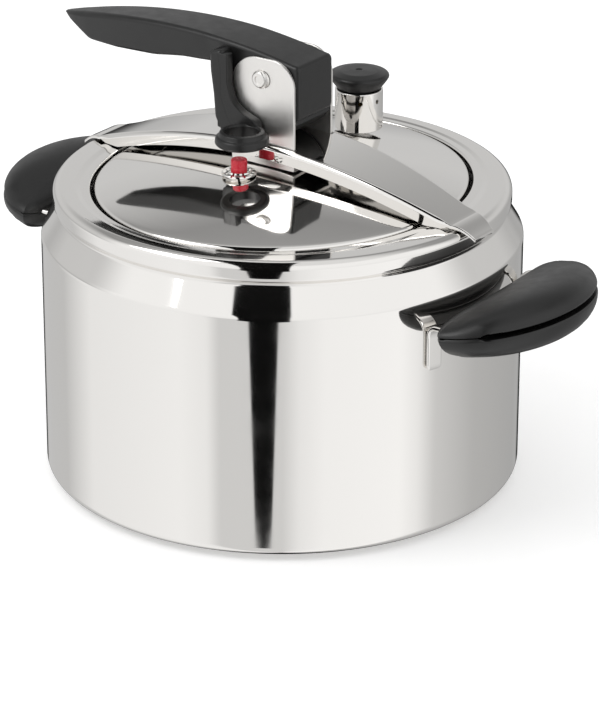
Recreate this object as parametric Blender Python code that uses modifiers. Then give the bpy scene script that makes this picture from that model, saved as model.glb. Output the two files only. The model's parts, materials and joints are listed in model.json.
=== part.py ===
"""Lever-lid pressure cooker, built as separate named pieces.

Blender 4.5, metres, +Z up. The origin is the centre of the underside of the base. X runs along
the bridge and through both side handles, Y across the bridge: the red pressure indicator is on
the -Y side, the steam valve on the +Y side, and the lever points to -X.
"""
import math

import bmesh
import bpy
from mathutils import Matrix, Vector

MM = 0.001
GAP = 0.3 * MM               # running or seating gap between neighbouring pieces

# ------------------------------------------------------------------ pot
POT_RADIUS = 112 * MM
RIM_HEIGHT = 142.3 * MM      # top of the rolled rim
POT_STEPS = 56               # facets round the pot and the lid
POT_WALL = 0.8 * MM
FOOT_RADIUS = 12 * MM        # round from the wall into the base
BASE_DEPTH = 4.5 * MM        # heat-spreading base under the drawn body
BASE_SKIN = 0.6 * MM
TAPER_START = RIM_HEIGHT - 36.3 * MM     # the straight wall begins to draw in here
SHOULDER_HEIGHT = RIM_HEIGHT - 20.1 * MM
SHOULDER_DRAW = 2.6 * MM     # how far the wall has drawn in at the shoulder
NECK_RADIUS = POT_RADIUS - 8.1 * MM
NECK_HEIGHT = RIM_HEIGHT - 10.8 * MM
RIM_ROLL = 4.8 * MM
RIM_RADIUS = POT_RADIUS - 5.7 * MM
LEDGE_DROP = 0.4 * MM        # the ledge inside the rim lies this much lower
MOUTH_LONG = POT_RADIUS - 19 * MM        # half of the oval mouth across the bridge
MOUTH_SHORT = POT_RADIUS - 26 * MM       # half of it along the bridge

# ------------------------------------------------------------------ lid
LID_SHEET = 1.0 * MM
LID_CROWN_HEIGHT = RIM_HEIGHT + 10.7 * MM
LID_CROWN_RISE = 10 * MM
LID_MOUTH_GAP = 1.8 * MM     # ring of shadow between the lid's step and the mouth
LID_OVERLAP = 4.6 * MM       # how far the lid's flange reaches under the ledge
GASKET_HEIGHT = 3.6 * MM
OVAL = MOUTH_SHORT / MOUTH_LONG

# ------------------------------------------------------------------ bridge
BRIDGE_TOP = RIM_HEIGHT + 22 * MM        # crown of the arch
BRIDGE_FALL = 19.5 * MM      # fall of the arch at BRIDGE_REACH
BRIDGE_REACH = POT_RADIUS - 12 * MM      # full section ends here and the hooked tongue begins
BRIDGE_TONGUE = 11 * MM
TONGUE_FALL = 5 * MM
TONGUE_LIP = 1.4 * MM        # the turned edge dwindles to this on the tongue
LEVER_HALF_WIDTH = 13.6 * MM
BRIDGE_HALF_WIDTH = LEVER_HALF_WIDTH + 4.9 * MM
BRIDGE_END_HALF_WIDTH = 10.8 * MM
TONGUE_END_HALF_WIDTH = 7.6 * MM
BRIDGE_FLANGE = 6.6 * MM
BRIDGE_SHEET = 1.2 * MM

# ------------------------------------------------------------------ lever and its bracket
PIVOT_HEIGHT = BRIDGE_TOP + 30.2 * MM
EAR_HALF_LENGTH = 17.5 * MM
EAR_SHEET = 1.5 * MM
EAR_TOP = PIVOT_HEIGHT + 10 * MM
LEVER_FACE = 19 * MM         # flat end of the lever's head, from the pivot
LEVER_TIP = 126 * MM
LEVER_HEEL = 23 * MM         # back of the lever's head, from the pivot
LEVER_CREST = -45 * MM       # place of the grip's highest point
LEVER_RISE = 14.7 * MM       # height of that point above the pivot
TIP_FALL = 9.7 * MM          # fall of the grip's top from there to the tip
FACE_FALL = 7 * MM           # and from there to the head's flat end
LEVER_BELLY = 3.9 * MM       # lowest point of the grip's underside, below the pivot
LEVER_ARCH = 5.6 * MM        # rise of the underside from there to the head
LID_DROP = 8 * MM            # travel of the lid over the lever's quarter turn
PIVOT_PIN_RADIUS = 3 * MM
BUSH_WALL = 1.2 * MM
ARM_THICK = 5.2 * MM
RING_RADIUS = 12.5 * MM
RING_HOLE = 8 * MM
RING_BOTTOM = PIVOT_HEIGHT - 27.5 * MM
RING_HEIGHT = 6.5 * MM
RING_CENTRE = (-1.8 * MM, -LEVER_HALF_WIDTH - 15.1 * MM)

# ------------------------------------------------------------------ pressure indicator
INDICATOR_CENTRE = (-3.1 * MM, -LEVER_HALF_WIDTH - 15.7 * MM)
PIN_RADIUS = 3.75 * MM
PIN_STEM_RADIUS = 2.2 * MM
PIN_TOP = LID_CROWN_HEIGHT + 6.8 * MM
PIN_TRAVEL = 10 * MM
SEAT_RADIUS = 8 * MM
SEAT_HEIGHT = 3.8 * MM
SEAT_STEM_RADIUS = 4.6 * MM

# ------------------------------------------------------------------ steam valve
VALVE_CENTRE = (0.5 * MM, POT_RADIUS - 51 * MM)
SLEEVE_RADIUS = 11.4 * MM
SLEEVE_WALL = 0.8 * MM
SLEEVE_HEIGHT = 19.2 * MM
SLEEVE_CLEARANCE = 0.5 * MM  # sleeve's lower edge above the lid
VENT_RADIUS = 1.05 * MM
VENT_COUNT = 8
KNOB_RADIUS = 14.5 * MM
KNOB_HEIGHT = 8.6 * MM
VALVE_STEM_RADIUS = 3.6 * MM

# ------------------------------------------------------------------ side handles
HANDLE_INNER = POT_RADIUS + 2.4 * MM     # inner edge of the grip from the pot's axis
HANDLE_DEPTH = 45.2 * MM
HANDLE_HALF_LENGTH = 52 * MM
HANDLE_BULGE = 1.5 * MM      # how far the inner edge curves away from the pot in its middle
HANDLE_CORNER = 5 * MM       # rounding of the grip's ends next to the pot
HANDLE_UP_INNER = 7.8 * MM   # height above the parting plane near the pot
HANDLE_UP_OUTER = 10.4 * MM
HANDLE_DOWN = 16.6 * MM
HANDLE_TILT = math.atan(0.14)            # the parting plane climbs away from the pot
HANDLE_TURNS = {"right": math.radians(1), "left": math.radians(174)}
PARTING_HEIGHT = RIM_HEIGHT - 34.6 * MM  # height of the parting plane at the inner edge
STRAP_WIDTH = 8 * MM
STRAP_THICK = 2 * MM
PARTING_SLOT = STRAP_THICK + 2 * GAP
STRAP_PLATE = 8 * MM         # width of the plate that joins the strap's legs
STRAP_INSET = 10 * MM        # middle of that plate from the grip's inner edge
STRAP_ANGLE = math.radians(18.7)
STRAP_FOOT = PARTING_HEIGHT - 22 * MM
STRAP_REACH = HANDLE_INNER + 17 * MM
HANDLE_SCREW_RADIUS = 2 * MM
HANDLE_SCREW_SPACING = 22 * MM
HANDLE_SCREW_REACH = 5 * MM  # end of the thread above the parting plane
HANDLE_SCREW_SEAT = 8 * MM   # underside of the head below it


# ================================================================== tools
def clear_scene():
    """Empties the scene without touching the rest of the file."""
    for obj in list(bpy.data.objects):
        bpy.data.objects.remove(obj, do_unlink=True)


def make_collection(name):
    """A new collection linked to the scene."""
    collection = bpy.data.collections.new(name)
    bpy.context.scene.collection.children.link(collection)
    return collection


def make_material(name, colour, roughness, metallic):
    """A plain Principled material."""
    material = bpy.data.materials.new(name)
    material.use_nodes = True
    shader = material.node_tree.nodes["Principled BSDF"]
    shader.inputs["Base Color"].default_value = (*colour, 1.0)
    shader.inputs["Roughness"].default_value = roughness
    shader.inputs["Metallic"].default_value = metallic
    return material


clear_scene()
PARTS = make_collection("pressure_cooker")
CUTTERS = make_collection("cutters")
STEEL = make_material("polished_steel", (0.72, 0.72, 0.71), 0.08, 1.0)
ALUMINIUM = make_material("aluminium", (0.77, 0.78, 0.79), 0.35, 1.0)
BRASS = make_material("brass", (0.72, 0.55, 0.28), 0.25, 1.0)
BAKELITE = make_material("black_bakelite", (0.035, 0.035, 0.036), 0.35, 0.0)
RUBBER = make_material("black_rubber", (0.02, 0.02, 0.02), 0.7, 0.0)
RED_PLASTIC = make_material("red_plastic", (0.62, 0.06, 0.08), 0.3, 0.0)


def place(mesh, name, material=None, parent=None, location=(0, 0, 0)):
    """Makes an object of a mesh: a part if it has a material, else a cutter."""
    obj = bpy.data.objects.new(name, mesh)
    obj.location = location
    obj.parent = parent
    if material:
        obj.data.materials.append(material)
        PARTS.objects.link(obj)
    else:
        CUTTERS.objects.link(obj)
        obj.hide_render = True
        obj.display_type = "WIRE"
    return obj


def make_empty(name, location=(0, 0, 0), turn=0.0, parent=None):
    """An empty that carries a group of pieces or marks a joint's axis."""
    empty = bpy.data.objects.new(name, None)
    empty.location = location
    empty.rotation_euler = (0, 0, turn)
    empty.parent = parent
    PARTS.objects.link(empty)
    return empty


def smooth(mesh, angle=35):
    """Shades a mesh smooth except at real edges."""
    mesh.shade_smooth()
    mesh.set_sharp_from_angle(angle=math.radians(angle))


def arc(centre, radius, start, end, count):
    """Points on an arc, angles in degrees, both ends included."""
    angles = [math.radians(start + (end - start) * i / (count - 1)) for i in range(count)]
    return [(centre[0] + radius * math.cos(a), centre[1] + radius * math.sin(a)) for a in angles]


def offset_path(points, distance):
    """The same path moved sideways by a distance, to the left of its direction."""
    moved = []
    for i, point in enumerate(points):
        before = Vector(points[max(i - 1, 0)])
        after = Vector(points[min(i + 1, len(points) - 1)])
        here = Vector(point)
        first = (here - before).normalized() if i else (after - here).normalized()
        second = (after - here).normalized() if i < len(points) - 1 else first
        normal = Vector((-(first.y + second.y), first.x + second.x)).normalized()
        spread = max(normal.dot(Vector((-first.y, first.x))), 0.5)
        moved.append(tuple(here + normal * (distance / spread)))
    return moved


def turned(name, profile, steps=24, material=None, parent=None, location=(0, 0, 0)):
    """Turns a profile of (radius, height) points round Z.

    The profile runs down the outer side. It is closed unless both ends lie on the axis.
    """
    mesh = bpy.data.meshes.new(name)
    edges = [(i, i + 1) for i in range(len(profile) - 1)]
    if profile[0][0] > 0 or profile[-1][0] > 0:
        edges.append((len(profile) - 1, 0))
    mesh.from_pydata([(r, 0, z) for r, z in profile], edges, [])
    obj = place(mesh, name, material, parent, location)
    screw = obj.modifiers.new("Turn", "SCREW")
    screw.steps = steps
    screw.render_steps = steps
    screw.use_merge_vertices = True
    screw.merge_threshold = 0.00002
    screw.use_smooth_shade = True
    return obj


def disc(name, radius, low, high, steps=24, material=None, parent=None, location=(0, 0, 0)):
    """A plain cylinder between two heights."""
    mesh = bpy.data.meshes.new(name)
    shape = bmesh.new()
    bmesh.ops.create_cone(shape, cap_ends=True, segments=steps, radius1=radius, radius2=radius,
                          depth=high - low)
    bmesh.ops.translate(shape, vec=(0, 0, (low + high) / 2), verts=shape.verts)
    shape.to_mesh(mesh)
    shape.free()
    smooth(mesh)
    return place(mesh, name, material, parent, location)


def hex_nut(name, radius, bore, low, high, parent, location):
    """A six-sided nut: its corners lie at the radius, its bore is round."""
    nut = disc(name, radius, low, high, 6, STEEL, parent, location)
    hole = disc(name + "_bore", bore, low - 5 * MM, high + 5 * MM, 20, None, parent, location)
    combine(nut, hole, "DIFFERENCE")
    return nut


def block(name, low, high, material=None, parent=None):
    """A box between two corners."""
    mesh = bpy.data.meshes.new(name)
    shape = bmesh.new()
    bmesh.ops.create_cube(shape, size=1)
    size = [b - a for a, b in zip(low, high)]
    middle = [(a + b) / 2 for a, b in zip(low, high)]
    bmesh.ops.scale(shape, vec=size, verts=shape.verts)
    bmesh.ops.translate(shape, vec=middle, verts=shape.verts)
    shape.to_mesh(mesh)
    shape.free()
    return place(mesh, name, material, parent)


def sheet_outline(name, outline, low, high, upright=False, material=None, parent=None):
    """Fills a flat outline and gives it thickness between two places on its normal.

    The outline lies in XY, or in XZ when upright, with low and high then measured along Y.
    It is filled at a thousand times its size, where filling keeps every small edge.
    """
    curve = bpy.data.curves.new(name, "CURVE")
    curve.dimensions = "2D"
    curve.fill_mode = "BOTH"
    curve.extrude = (high - low) / 2 / MM
    spline = curve.splines.new("POLY")
    spline.points.add(len(outline) - 1)
    for point, (a, b) in zip(spline.points, outline):
        point.co = (a / MM, b / MM, 0, 1)
    spline.use_cyclic_u = True
    flat = bpy.data.objects.new(name, curve)
    CUTTERS.objects.link(flat)
    mesh = bpy.data.meshes.new_from_object(flat.evaluated_get(bpy.context.evaluated_depsgraph_get()))
    bpy.data.objects.remove(flat, do_unlink=True)
    bpy.data.curves.remove(curve)
    middle = (low + high) / 2
    shift = Matrix.Translation((0, 0, -middle if upright else middle))
    turn = Matrix.Rotation(math.pi / 2, 4, "X") if upright else Matrix.Identity(4)
    mesh.transform(turn @ shift @ Matrix.Scale(MM, 4))
    shape = bmesh.new()
    shape.from_mesh(mesh)
    bmesh.ops.remove_doubles(shape, verts=shape.verts, dist=0.00001)
    bmesh.ops.recalc_face_normals(shape, faces=shape.faces)
    shape.to_mesh(mesh)
    shape.free()
    mesh.name = name
    return place(mesh, name, material, parent)


def combine(obj, other, operation):
    """Adds a Boolean modifier: DIFFERENCE, UNION or INTERSECT."""
    modifier = obj.modifiers.new(other.name, "BOOLEAN")
    modifier.operation = operation
    modifier.object = other


# ================================================================== pot
def pot_outer_profile():
    """Outer side of the drawn body, from the mouth's edge down to the axis."""
    roll_centre = (RIM_RADIUS - RIM_ROLL, RIM_HEIGHT - RIM_ROLL)
    ledge = [(0.9 * MOUTH_SHORT, RIM_HEIGHT - LEDGE_DROP), (RIM_RADIUS - 2.2 * RIM_ROLL, RIM_HEIGHT - LEDGE_DROP)]
    roll = arc(roll_centre, RIM_ROLL, 90, -35, 6)
    neck = [(NECK_RADIUS + 0.3 * MM, NECK_HEIGHT + 1.6 * MM), (NECK_RADIUS, NECK_HEIGHT)]
    shoulder_radius = POT_RADIUS - SHOULDER_DRAW
    shoulder = []
    for i in range(1, 5):
        turn = math.radians(90 - 90 * i / 4)
        shoulder.append((NECK_RADIUS + (shoulder_radius - NECK_RADIUS) * math.cos(turn),
                         SHOULDER_HEIGHT + (NECK_HEIGHT - SHOULDER_HEIGHT) * math.sin(turn)))
    taper = []
    for i in (2, 1, 0):
        share = i / 3
        taper.append((POT_RADIUS - SHOULDER_DRAW * share ** 2,
                      TAPER_START + (SHOULDER_HEIGHT - TAPER_START) * share))
    foot_end = math.degrees(math.asin(1 - BASE_DEPTH / FOOT_RADIUS))
    foot = arc((POT_RADIUS - FOOT_RADIUS, FOOT_RADIUS), FOOT_RADIUS, 0, -foot_end, 4)
    return ledge + roll + neck + shoulder + taper + foot + [(0, BASE_DEPTH)]


def build_pot(parent):
    """Drawn body with its rolled rim, and the two layers of the base."""
    outer = pot_outer_profile()
    inner = offset_path(outer, -POT_WALL)
    inner[0] = (outer[0][0], inner[0][1])
    inner[-1] = (0, BASE_DEPTH + POT_WALL)
    body = turned("pot_body", inner[::-1] + outer, POT_STEPS, STEEL, parent)
    mouth = disc("mouth_cutter", MOUTH_LONG, NECK_HEIGHT, RIM_HEIGHT + 10 * MM, POT_STEPS)
    mouth.data.transform(Matrix.Diagonal((OVAL, 1, 1, 1)))
    combine(body, mouth, "DIFFERENCE")

    flat_radius = POT_RADIUS - FOOT_RADIUS
    foot_end = math.degrees(math.asin(1 - (BASE_DEPTH - GAP) / FOOT_RADIUS))
    cap_side = arc((flat_radius, FOOT_RADIUS), FOOT_RADIUS, -foot_end, -90, 4)
    cap_inside = offset_path(cap_side, -BASE_SKIN)
    cap_inside[0] = (cap_inside[0][0], cap_side[0][1])
    turned("base_cap", [(0, BASE_SKIN)] + cap_inside[::-1] + cap_side + [(0, 0)], POT_STEPS, STEEL, parent)
    core_side = offset_path(cap_side, -BASE_SKIN - GAP)
    core_side[0] = (core_side[0][0] - 0.4 * MM, cap_side[0][1])
    turned("base_core", [(0, core_side[0][1])] + core_side + [(0, core_side[-1][1])], POT_STEPS, ALUMINIUM,
           parent)


# ================================================================== side handles
def handle_plan(turn):
    """Edge of the grip in plan at an angle round it: half an oval outside, nearly straight inside."""
    along = math.sin(turn)
    if abs(turn) <= math.pi / 2:
        out = HANDLE_CORNER + (HANDLE_DEPTH - HANDLE_CORNER) * math.cos(turn)
    else:
        out = HANDLE_BULGE * (1 - along ** 2) + HANDLE_CORNER * along ** 12
    return Vector((out, HANDLE_HALF_LENGTH * along))


def shell_mesh(name, upper):
    """Half of the grip, above or below the parting plane, with the grip's inner edge at X = 0.

    Half a sphere is reshaped: its azimuth picks a place on the grip's edge, and its elevation
    moves that place in towards the grip's middle and away from the plane.
    """
    side = 1 if upper else -1
    shape = bmesh.new()
    bmesh.ops.create_uvsphere(shape, u_segments=40, v_segments=16, radius=1)
    cut = bmesh.ops.bisect_plane(shape, geom=shape.verts[:] + shape.edges[:] + shape.faces[:],
                                 plane_co=(0, 0, 0), plane_no=(0, 0, side), clear_inner=True)
    rim = [item for item in cut["geom_cut"] if isinstance(item, bmesh.types.BMEdge)]
    bmesh.ops.contextual_create(shape, geom=rim)
    middle = Vector((0.45 * HANDLE_DEPTH, 0))
    for vert in shape.verts:
        x, y, z = vert.co
        rise = min(abs(z), 1)
        edge = handle_plan(math.atan2(y, x))
        flat = middle + (edge - middle) * (1 - rise ** 2) ** 0.27
        outward = min(max((flat.x - 4 * MM) / (26 * MM), 0), 1)
        height = HANDLE_DOWN
        if upper:
            height = HANDLE_UP_INNER + (HANDLE_UP_OUTER - HANDLE_UP_INNER) * outward ** 2 * (3 - 2 * outward)
        vert.co = (flat.x, flat.y, side * (GAP / 2 + height * rise))
    bmesh.ops.remove_doubles(shape, verts=shape.verts, dist=0.00001)
    bmesh.ops.recalc_face_normals(shape, faces=shape.faces)
    mesh = bpy.data.meshes.new(name)
    shape.to_mesh(mesh)
    shape.free()
    smooth(mesh, 50)
    return mesh


def parting_height(reach):
    """Height of the parting plane above a leg of the strap, at a distance from the pot's axis."""
    return PARTING_HEIGHT + math.tan(HANDLE_TILT) * (reach * math.cos(STRAP_ANGLE) - HANDLE_INNER)


def strap_side_outline():
    """Side view of one strap leg: up the pot's wall, then bent out along the parting plane."""
    bend = 6 * MM
    wall = POT_RADIUS + GAP + STRAP_THICK / 2
    centre = [(wall, STRAP_FOOT)]
    centre += arc((wall + bend, parting_height(wall + bend) - bend), bend, 180,
                  90 + math.degrees(HANDLE_TILT), 6)
    centre += [(STRAP_REACH, parting_height(STRAP_REACH))]
    half = STRAP_THICK / 2
    return offset_path(centre, half) + offset_path(centre, -half)[::-1]


def build_handle(side, parent):
    """One side handle: two grip shells, the welded strap between them and two screws.

    The shells, the strap's plate and the screws stand on the tilted parting plane.
    """
    hub = make_empty(side + "_handle_hub", turn=HANDLE_TURNS[side], parent=parent)
    tilt = make_empty(side + "_handle_tilt", (HANDLE_INNER, 0, PARTING_HEIGHT), parent=hub)
    tilt.rotation_euler = (0, -HANDLE_TILT, 0)
    half_slot = PARTING_SLOT / 2
    plate_end = STRAP_REACH * math.sin(STRAP_ANGLE)
    plate_inner = STRAP_INSET - STRAP_PLATE / 2

    strap = block(side + "_handle_strap", (plate_inner, -plate_end, -STRAP_THICK / 2),
                  (plate_inner + STRAP_PLATE, plate_end, STRAP_THICK / 2), STEEL, tilt)
    pockets = [block(side + "_slot_cutter", (plate_inner - 2 * GAP, -plate_end - 2 * MM, -half_slot),
                     (2 * HANDLE_DEPTH, plate_end + 2 * MM, half_slot), parent=tilt)]
    for label, angle in (("front", -STRAP_ANGLE), ("rear", STRAP_ANGLE)):
        leg = sheet_outline(side + "_strap_leg_" + label, strap_side_outline(), -STRAP_WIDTH / 2,
                            STRAP_WIDTH / 2, upright=True, parent=hub)
        leg.rotation_euler = (0, 0, angle)
        combine(strap, leg, "UNION")
        pocket_side = STRAP_WIDTH / 2 + 2 * GAP
        pocket = block(side + "_leg_pocket_" + label,
                       (POT_RADIUS - HANDLE_INNER, -pocket_side, -4 * half_slot),
                       (STRAP_REACH - HANDLE_INNER + 2 * GAP, pocket_side, half_slot + GAP), parent=hub)
        pocket.rotation_euler = (0, -HANDLE_TILT, angle)
        pocket.location = (HANDLE_INNER * math.cos(angle), HANDLE_INNER * math.sin(angle),
                           parting_height(HANDLE_INNER))
        pockets.append(pocket)

    shells = [place(shell_mesh(side + "_handle_upper", True), side + "_handle_upper", BAKELITE, tilt),
              place(shell_mesh(side + "_handle_lower", False), side + "_handle_lower", BAKELITE, tilt)]
    for shell in shells:
        for pocket in pockets:
            combine(shell, pocket, "DIFFERENCE")

    seat = -HANDLE_SCREW_SEAT
    for label, y in (("front", -HANDLE_SCREW_SPACING), ("rear", HANDLE_SCREW_SPACING)):
        spot = (STRAP_INSET, y, 0)
        hole = HANDLE_SCREW_RADIUS + GAP
        head = 1.9 * HANDLE_SCREW_RADIUS
        bore = turned(side + "_screw_bore_" + label,
                      [(0, HANDLE_SCREW_REACH + GAP), (hole, HANDLE_SCREW_REACH + GAP), (hole, seat + GAP),
                       (head + GAP, seat + GAP), (head + GAP, -2 * HANDLE_DOWN), (0, -2 * HANDLE_DOWN)],
                      16, None, tilt, spot)
        for piece in (strap, *shells):
            combine(piece, bore, "DIFFERENCE")
        turned(side + "_handle_screw_" + label,
               [(0, HANDLE_SCREW_REACH), (HANDLE_SCREW_RADIUS, HANDLE_SCREW_REACH - 0.4 * MM),
                (HANDLE_SCREW_RADIUS, seat), (head, seat), (head, seat - 1.4 * MM), (0.6 * head, seat - 2.4 * MM),
                (0, seat - 2.4 * MM)], 16, STEEL, tilt, spot)


# ================================================================== bridge
def bridge_height(x):
    """Top of the arch at a distance from the middle: a parabola, then the steeper tongue."""
    reach = abs(x) / BRIDGE_REACH
    if reach <= 1:
        return BRIDGE_TOP - BRIDGE_FALL * (1.08 * reach ** 2 - 0.08 * reach ** 4)
    share = (abs(x) - BRIDGE_REACH) / BRIDGE_TONGUE
    return BRIDGE_TOP - BRIDGE_FALL - TONGUE_FALL * share ** 2


def bridge_half_width(x):
    """Half width of the bridge at a distance from the middle."""
    reach = abs(x) / BRIDGE_REACH
    if reach <= 1:
        return BRIDGE_HALF_WIDTH - (BRIDGE_HALF_WIDTH - BRIDGE_END_HALF_WIDTH) * reach ** 2
    share = (abs(x) - BRIDGE_REACH) / BRIDGE_TONGUE
    return BRIDGE_END_HALF_WIDTH - (BRIDGE_END_HALF_WIDTH - TONGUE_END_HALF_WIDTH) * share


def bridge_flange(x):
    """Depth of the turned-down edges; they rest on the rim's ledge near the ends."""
    if abs(x) > BRIDGE_REACH - 3 * MM:
        return TONGUE_LIP
    return min(BRIDGE_FLANGE, bridge_height(x) - (RIM_HEIGHT + GAP))


def build_bridge(parent):
    """Arched sheet with turned-down edges, hooked ends and two slots for the bracket's ears."""
    full = BRIDGE_REACH + BRIDGE_TONGUE
    stations = [-full + 2 * full * i / 40 for i in range(41)]
    shape = bmesh.new()
    bmesh.ops.create_grid(shape, x_segments=len(stations) - 1, y_segments=8, size=1)
    for vert in shape.verts:
        x = stations[round((vert.co.x + 1) / 2 * (len(stations) - 1))]
        step = round((vert.co.y + 1) / 2 * 8)
        width = bridge_half_width(x)
        flange = bridge_flange(x)
        corner = min(2 * MM, 0.8 * flange)
        section = [(-width, -flange), (-width, -corner), (-width + 0.3 * corner, -0.3 * corner),
                   (-width + corner, 0), (0, 0)]
        y, drop = section[step] if step <= 4 else (-section[8 - step][0], section[8 - step][1])
        vert.co = (x, y, bridge_height(x) + drop)
    mesh = bpy.data.meshes.new("bridge")
    shape.to_mesh(mesh)
    shape.free()
    smooth(mesh)
    bridge = place(mesh, "bridge", STEEL, parent)
    solid = bridge.modifiers.new("Sheet", "SOLIDIFY")
    solid.thickness = BRIDGE_SHEET
    solid.offset = -1
    ear_out = LEVER_HALF_WIDTH + GAP + EAR_SHEET
    for label, way in (("front", -1), ("rear", 1)):
        edges = sorted((way * (LEVER_HALF_WIDTH), way * (ear_out + GAP)))
        slot = block("slot_cutter_" + label, (-EAR_HALF_LENGTH - 2 * GAP, edges[0], BRIDGE_TOP - 20 * MM),
                     (EAR_HALF_LENGTH + 2 * GAP, edges[1], BRIDGE_TOP + 10 * MM))
        combine(bridge, slot, "DIFFERENCE")


# ================================================================== lid
def lid_height(x, y):
    """Top of the lid's crown at a place in plan."""
    reach = math.hypot(x / OVAL, y) / (MOUTH_LONG - 5 * MM)
    return LID_CROWN_HEIGHT - LID_CROWN_RISE * reach ** 2


def lid_seat(x, y, radius):
    """Heights of the lid's highest top and lowest underside within a round foot."""
    reach = math.hypot(x, y)
    near = (reach - radius) / reach
    far = (reach + radius) / reach
    return lid_height(x * near, y * near), lid_height(x * far, y * far) - LID_SHEET


def lid_profile():
    """Top side of the lid along its long half: crown, step through the mouth, flange."""
    crown_end = MOUTH_LONG - 5 * MM
    step_radius = MOUTH_LONG - LID_MOUTH_GAP
    flange_top = RIM_HEIGHT - LEDGE_DROP - POT_WALL - GASKET_HEIGHT - 2 * GAP
    crown = [(crown_end * i / 6, lid_height(0, crown_end * i / 6)) for i in range(7)]
    edge_height = crown[-1][1]
    step = [(step_radius - 1.0 * MM, edge_height - 0.9 * MM), (step_radius, edge_height - 2.6 * MM),
            (step_radius, flange_top + 1.2 * MM), (step_radius + 1.2 * MM, flange_top),
            (MOUTH_LONG + LID_OVERLAP, flange_top)]
    return crown + step


def build_lid(parent):
    """Oval flexible lid, pressed from sheet, and the rubber gasket on its flange."""
    top = lid_profile()
    under = offset_path(top, -LID_SHEET)
    under[0] = (0, top[0][1] - LID_SHEET)
    lid = turned("lid_plate", top + under[::-1], POT_STEPS, STEEL, parent)
    lid.scale = (OVAL, 1, 1)
    flange_top = top[-1][1]
    inner = MOUTH_LONG - LID_MOUTH_GAP + 1.5 * MM
    outer = MOUTH_LONG + LID_OVERLAP - GAP
    low = flange_top + GAP
    high = low + GASKET_HEIGHT
    gasket = turned("lid_gasket", [(inner, high - 0.5 * MM), (inner + 0.5 * MM, high), (outer - 0.8 * MM, high),
                                   (outer, high - 0.8 * MM), (outer, low), (inner, low)], POT_STEPS, RUBBER, parent)
    gasket.scale = (OVAL, 1, 1)
    return lid


def build_bracket(lid, parent):
    """Bent steel bracket: two ears on a base plate, fixed to the lid by two rivets."""
    half = LEVER_HALF_WIDTH + GAP + EAR_SHEET
    base = LID_CROWN_HEIGHT + GAP
    corner = 12 * MM
    back = 14.4 * MM
    outline = [(-EAR_HALF_LENGTH, base), (EAR_HALF_LENGTH, base)]
    outline += arc((EAR_HALF_LENGTH - corner, EAR_TOP - corner), corner, 0, 90, 9)
    outline += arc((back - EAR_HALF_LENGTH, EAR_TOP - back), back, 90, 180, 11)
    bracket = sheet_outline("lever_bracket", outline, -half, half, True, STEEL, parent)
    inside = block("bracket_cutter", (-EAR_HALF_LENGTH - 10 * MM, -half + EAR_SHEET, base + EAR_SHEET),
                   (EAR_HALF_LENGTH + 10 * MM, half - EAR_SHEET, EAR_TOP + 10 * MM))
    combine(bracket, inside, "DIFFERENCE")
    axle = disc("bracket_axle_cutter", PIVOT_PIN_RADIUS + GAP, -2 * half, 2 * half)
    axle.rotation_euler = (math.pi / 2, 0, 0)
    axle.location = (0, 0, PIVOT_HEIGHT)
    combine(bracket, axle, "DIFFERENCE")
    shank = 2.4 * MM
    head = 4.4 * MM
    head_base = base + EAR_SHEET + GAP
    tail = LID_CROWN_HEIGHT - LID_SHEET - 2 * GAP
    for label, x in (("left", -9 * MM), ("right", 9 * MM)):
        hole = disc("rivet_hole_" + label, shank + GAP, tail - 5 * MM, head_base + 5 * MM, 20, None, None,
                    (x, 0, 0))
        combine(bracket, hole, "DIFFERENCE")
        combine(lid, hole, "DIFFERENCE")
        turned("bracket_rivet_" + label,
               [(0, head_base + 2 * MM), (0.6 * head, head_base + 1.7 * MM), (0.92 * head, head_base + 0.9 * MM),
                (head, head_base), (shank, head_base), (shank, tail), (head, tail), (head, tail - 0.9 * MM),
                (0, tail - 1.2 * MM)], 20, STEEL, parent, (x, 0, 0))


def build_pivot(parent):
    """Screw through both ears with a domed nut behind."""
    half = LEVER_HALF_WIDTH + GAP + EAR_SHEET
    stud = PIVOT_PIN_RADIUS
    head = stud + 1.2 * MM
    nut_radius = stud + 2.2 * MM
    end = half + GAP + 3.2 * MM
    screw = turned("pivot_screw",
                   [(0, half + GAP + 1.7 * MM), (0.6 * head, half + GAP + 1.5 * MM),
                    (0.9 * head, half + GAP + 0.9 * MM), (head, half + GAP), (stud, half + GAP),
                    (stud, -end + 0.6 * MM), (stud - 0.5 * MM, -end), (0, -end)], 20, STEEL, parent)
    screw.rotation_euler = (math.pi / 2, 0, 0)
    nut = turned("pivot_nut",
                 [(stud + GAP, -half - GAP), (nut_radius, -half - GAP), (nut_radius, -half - 2.2 * MM),
                  (head, -half - 3.2 * MM), (stud + 0.9 * MM, -end - GAP), (2.4 * MM, -end - 1.6 * MM),
                  (0.8 * MM, -end - 1.9 * MM), (0.8 * MM, -end - GAP), (stud + GAP, -end - GAP)],
                 20, STEEL, parent)
    nut.rotation_euler = (math.pi / 2, 0, 0)


# ================================================================== lever
def cam_point(angle):
    """Point on the cam, the angle in degrees from straight down towards the head's flat end.

    The radius shrinks evenly, by the lid's travel over a quarter turn, so that the cam keeps
    pressing on the bridge as the lid drops.
    """
    full = PIVOT_HEIGHT - BRIDGE_TOP - 2 * GAP
    radius = full - LID_DROP * max(angle, 0) / 90
    turn = math.radians(angle)
    return (radius * math.sin(turn), PIVOT_HEIGHT - radius * math.cos(turn))


def lever_crest(x):
    """Height of the lever's top at a distance along it: two parabolas that meet at the crest."""
    if x < LEVER_CREST:
        return PIVOT_HEIGHT + LEVER_RISE - TIP_FALL * ((x - LEVER_CREST) / (LEVER_TIP + LEVER_CREST)) ** 2
    return PIVOT_HEIGHT + LEVER_RISE - FACE_FALL * ((x - LEVER_CREST) / (LEVER_FACE - LEVER_CREST)) ** 2


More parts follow.
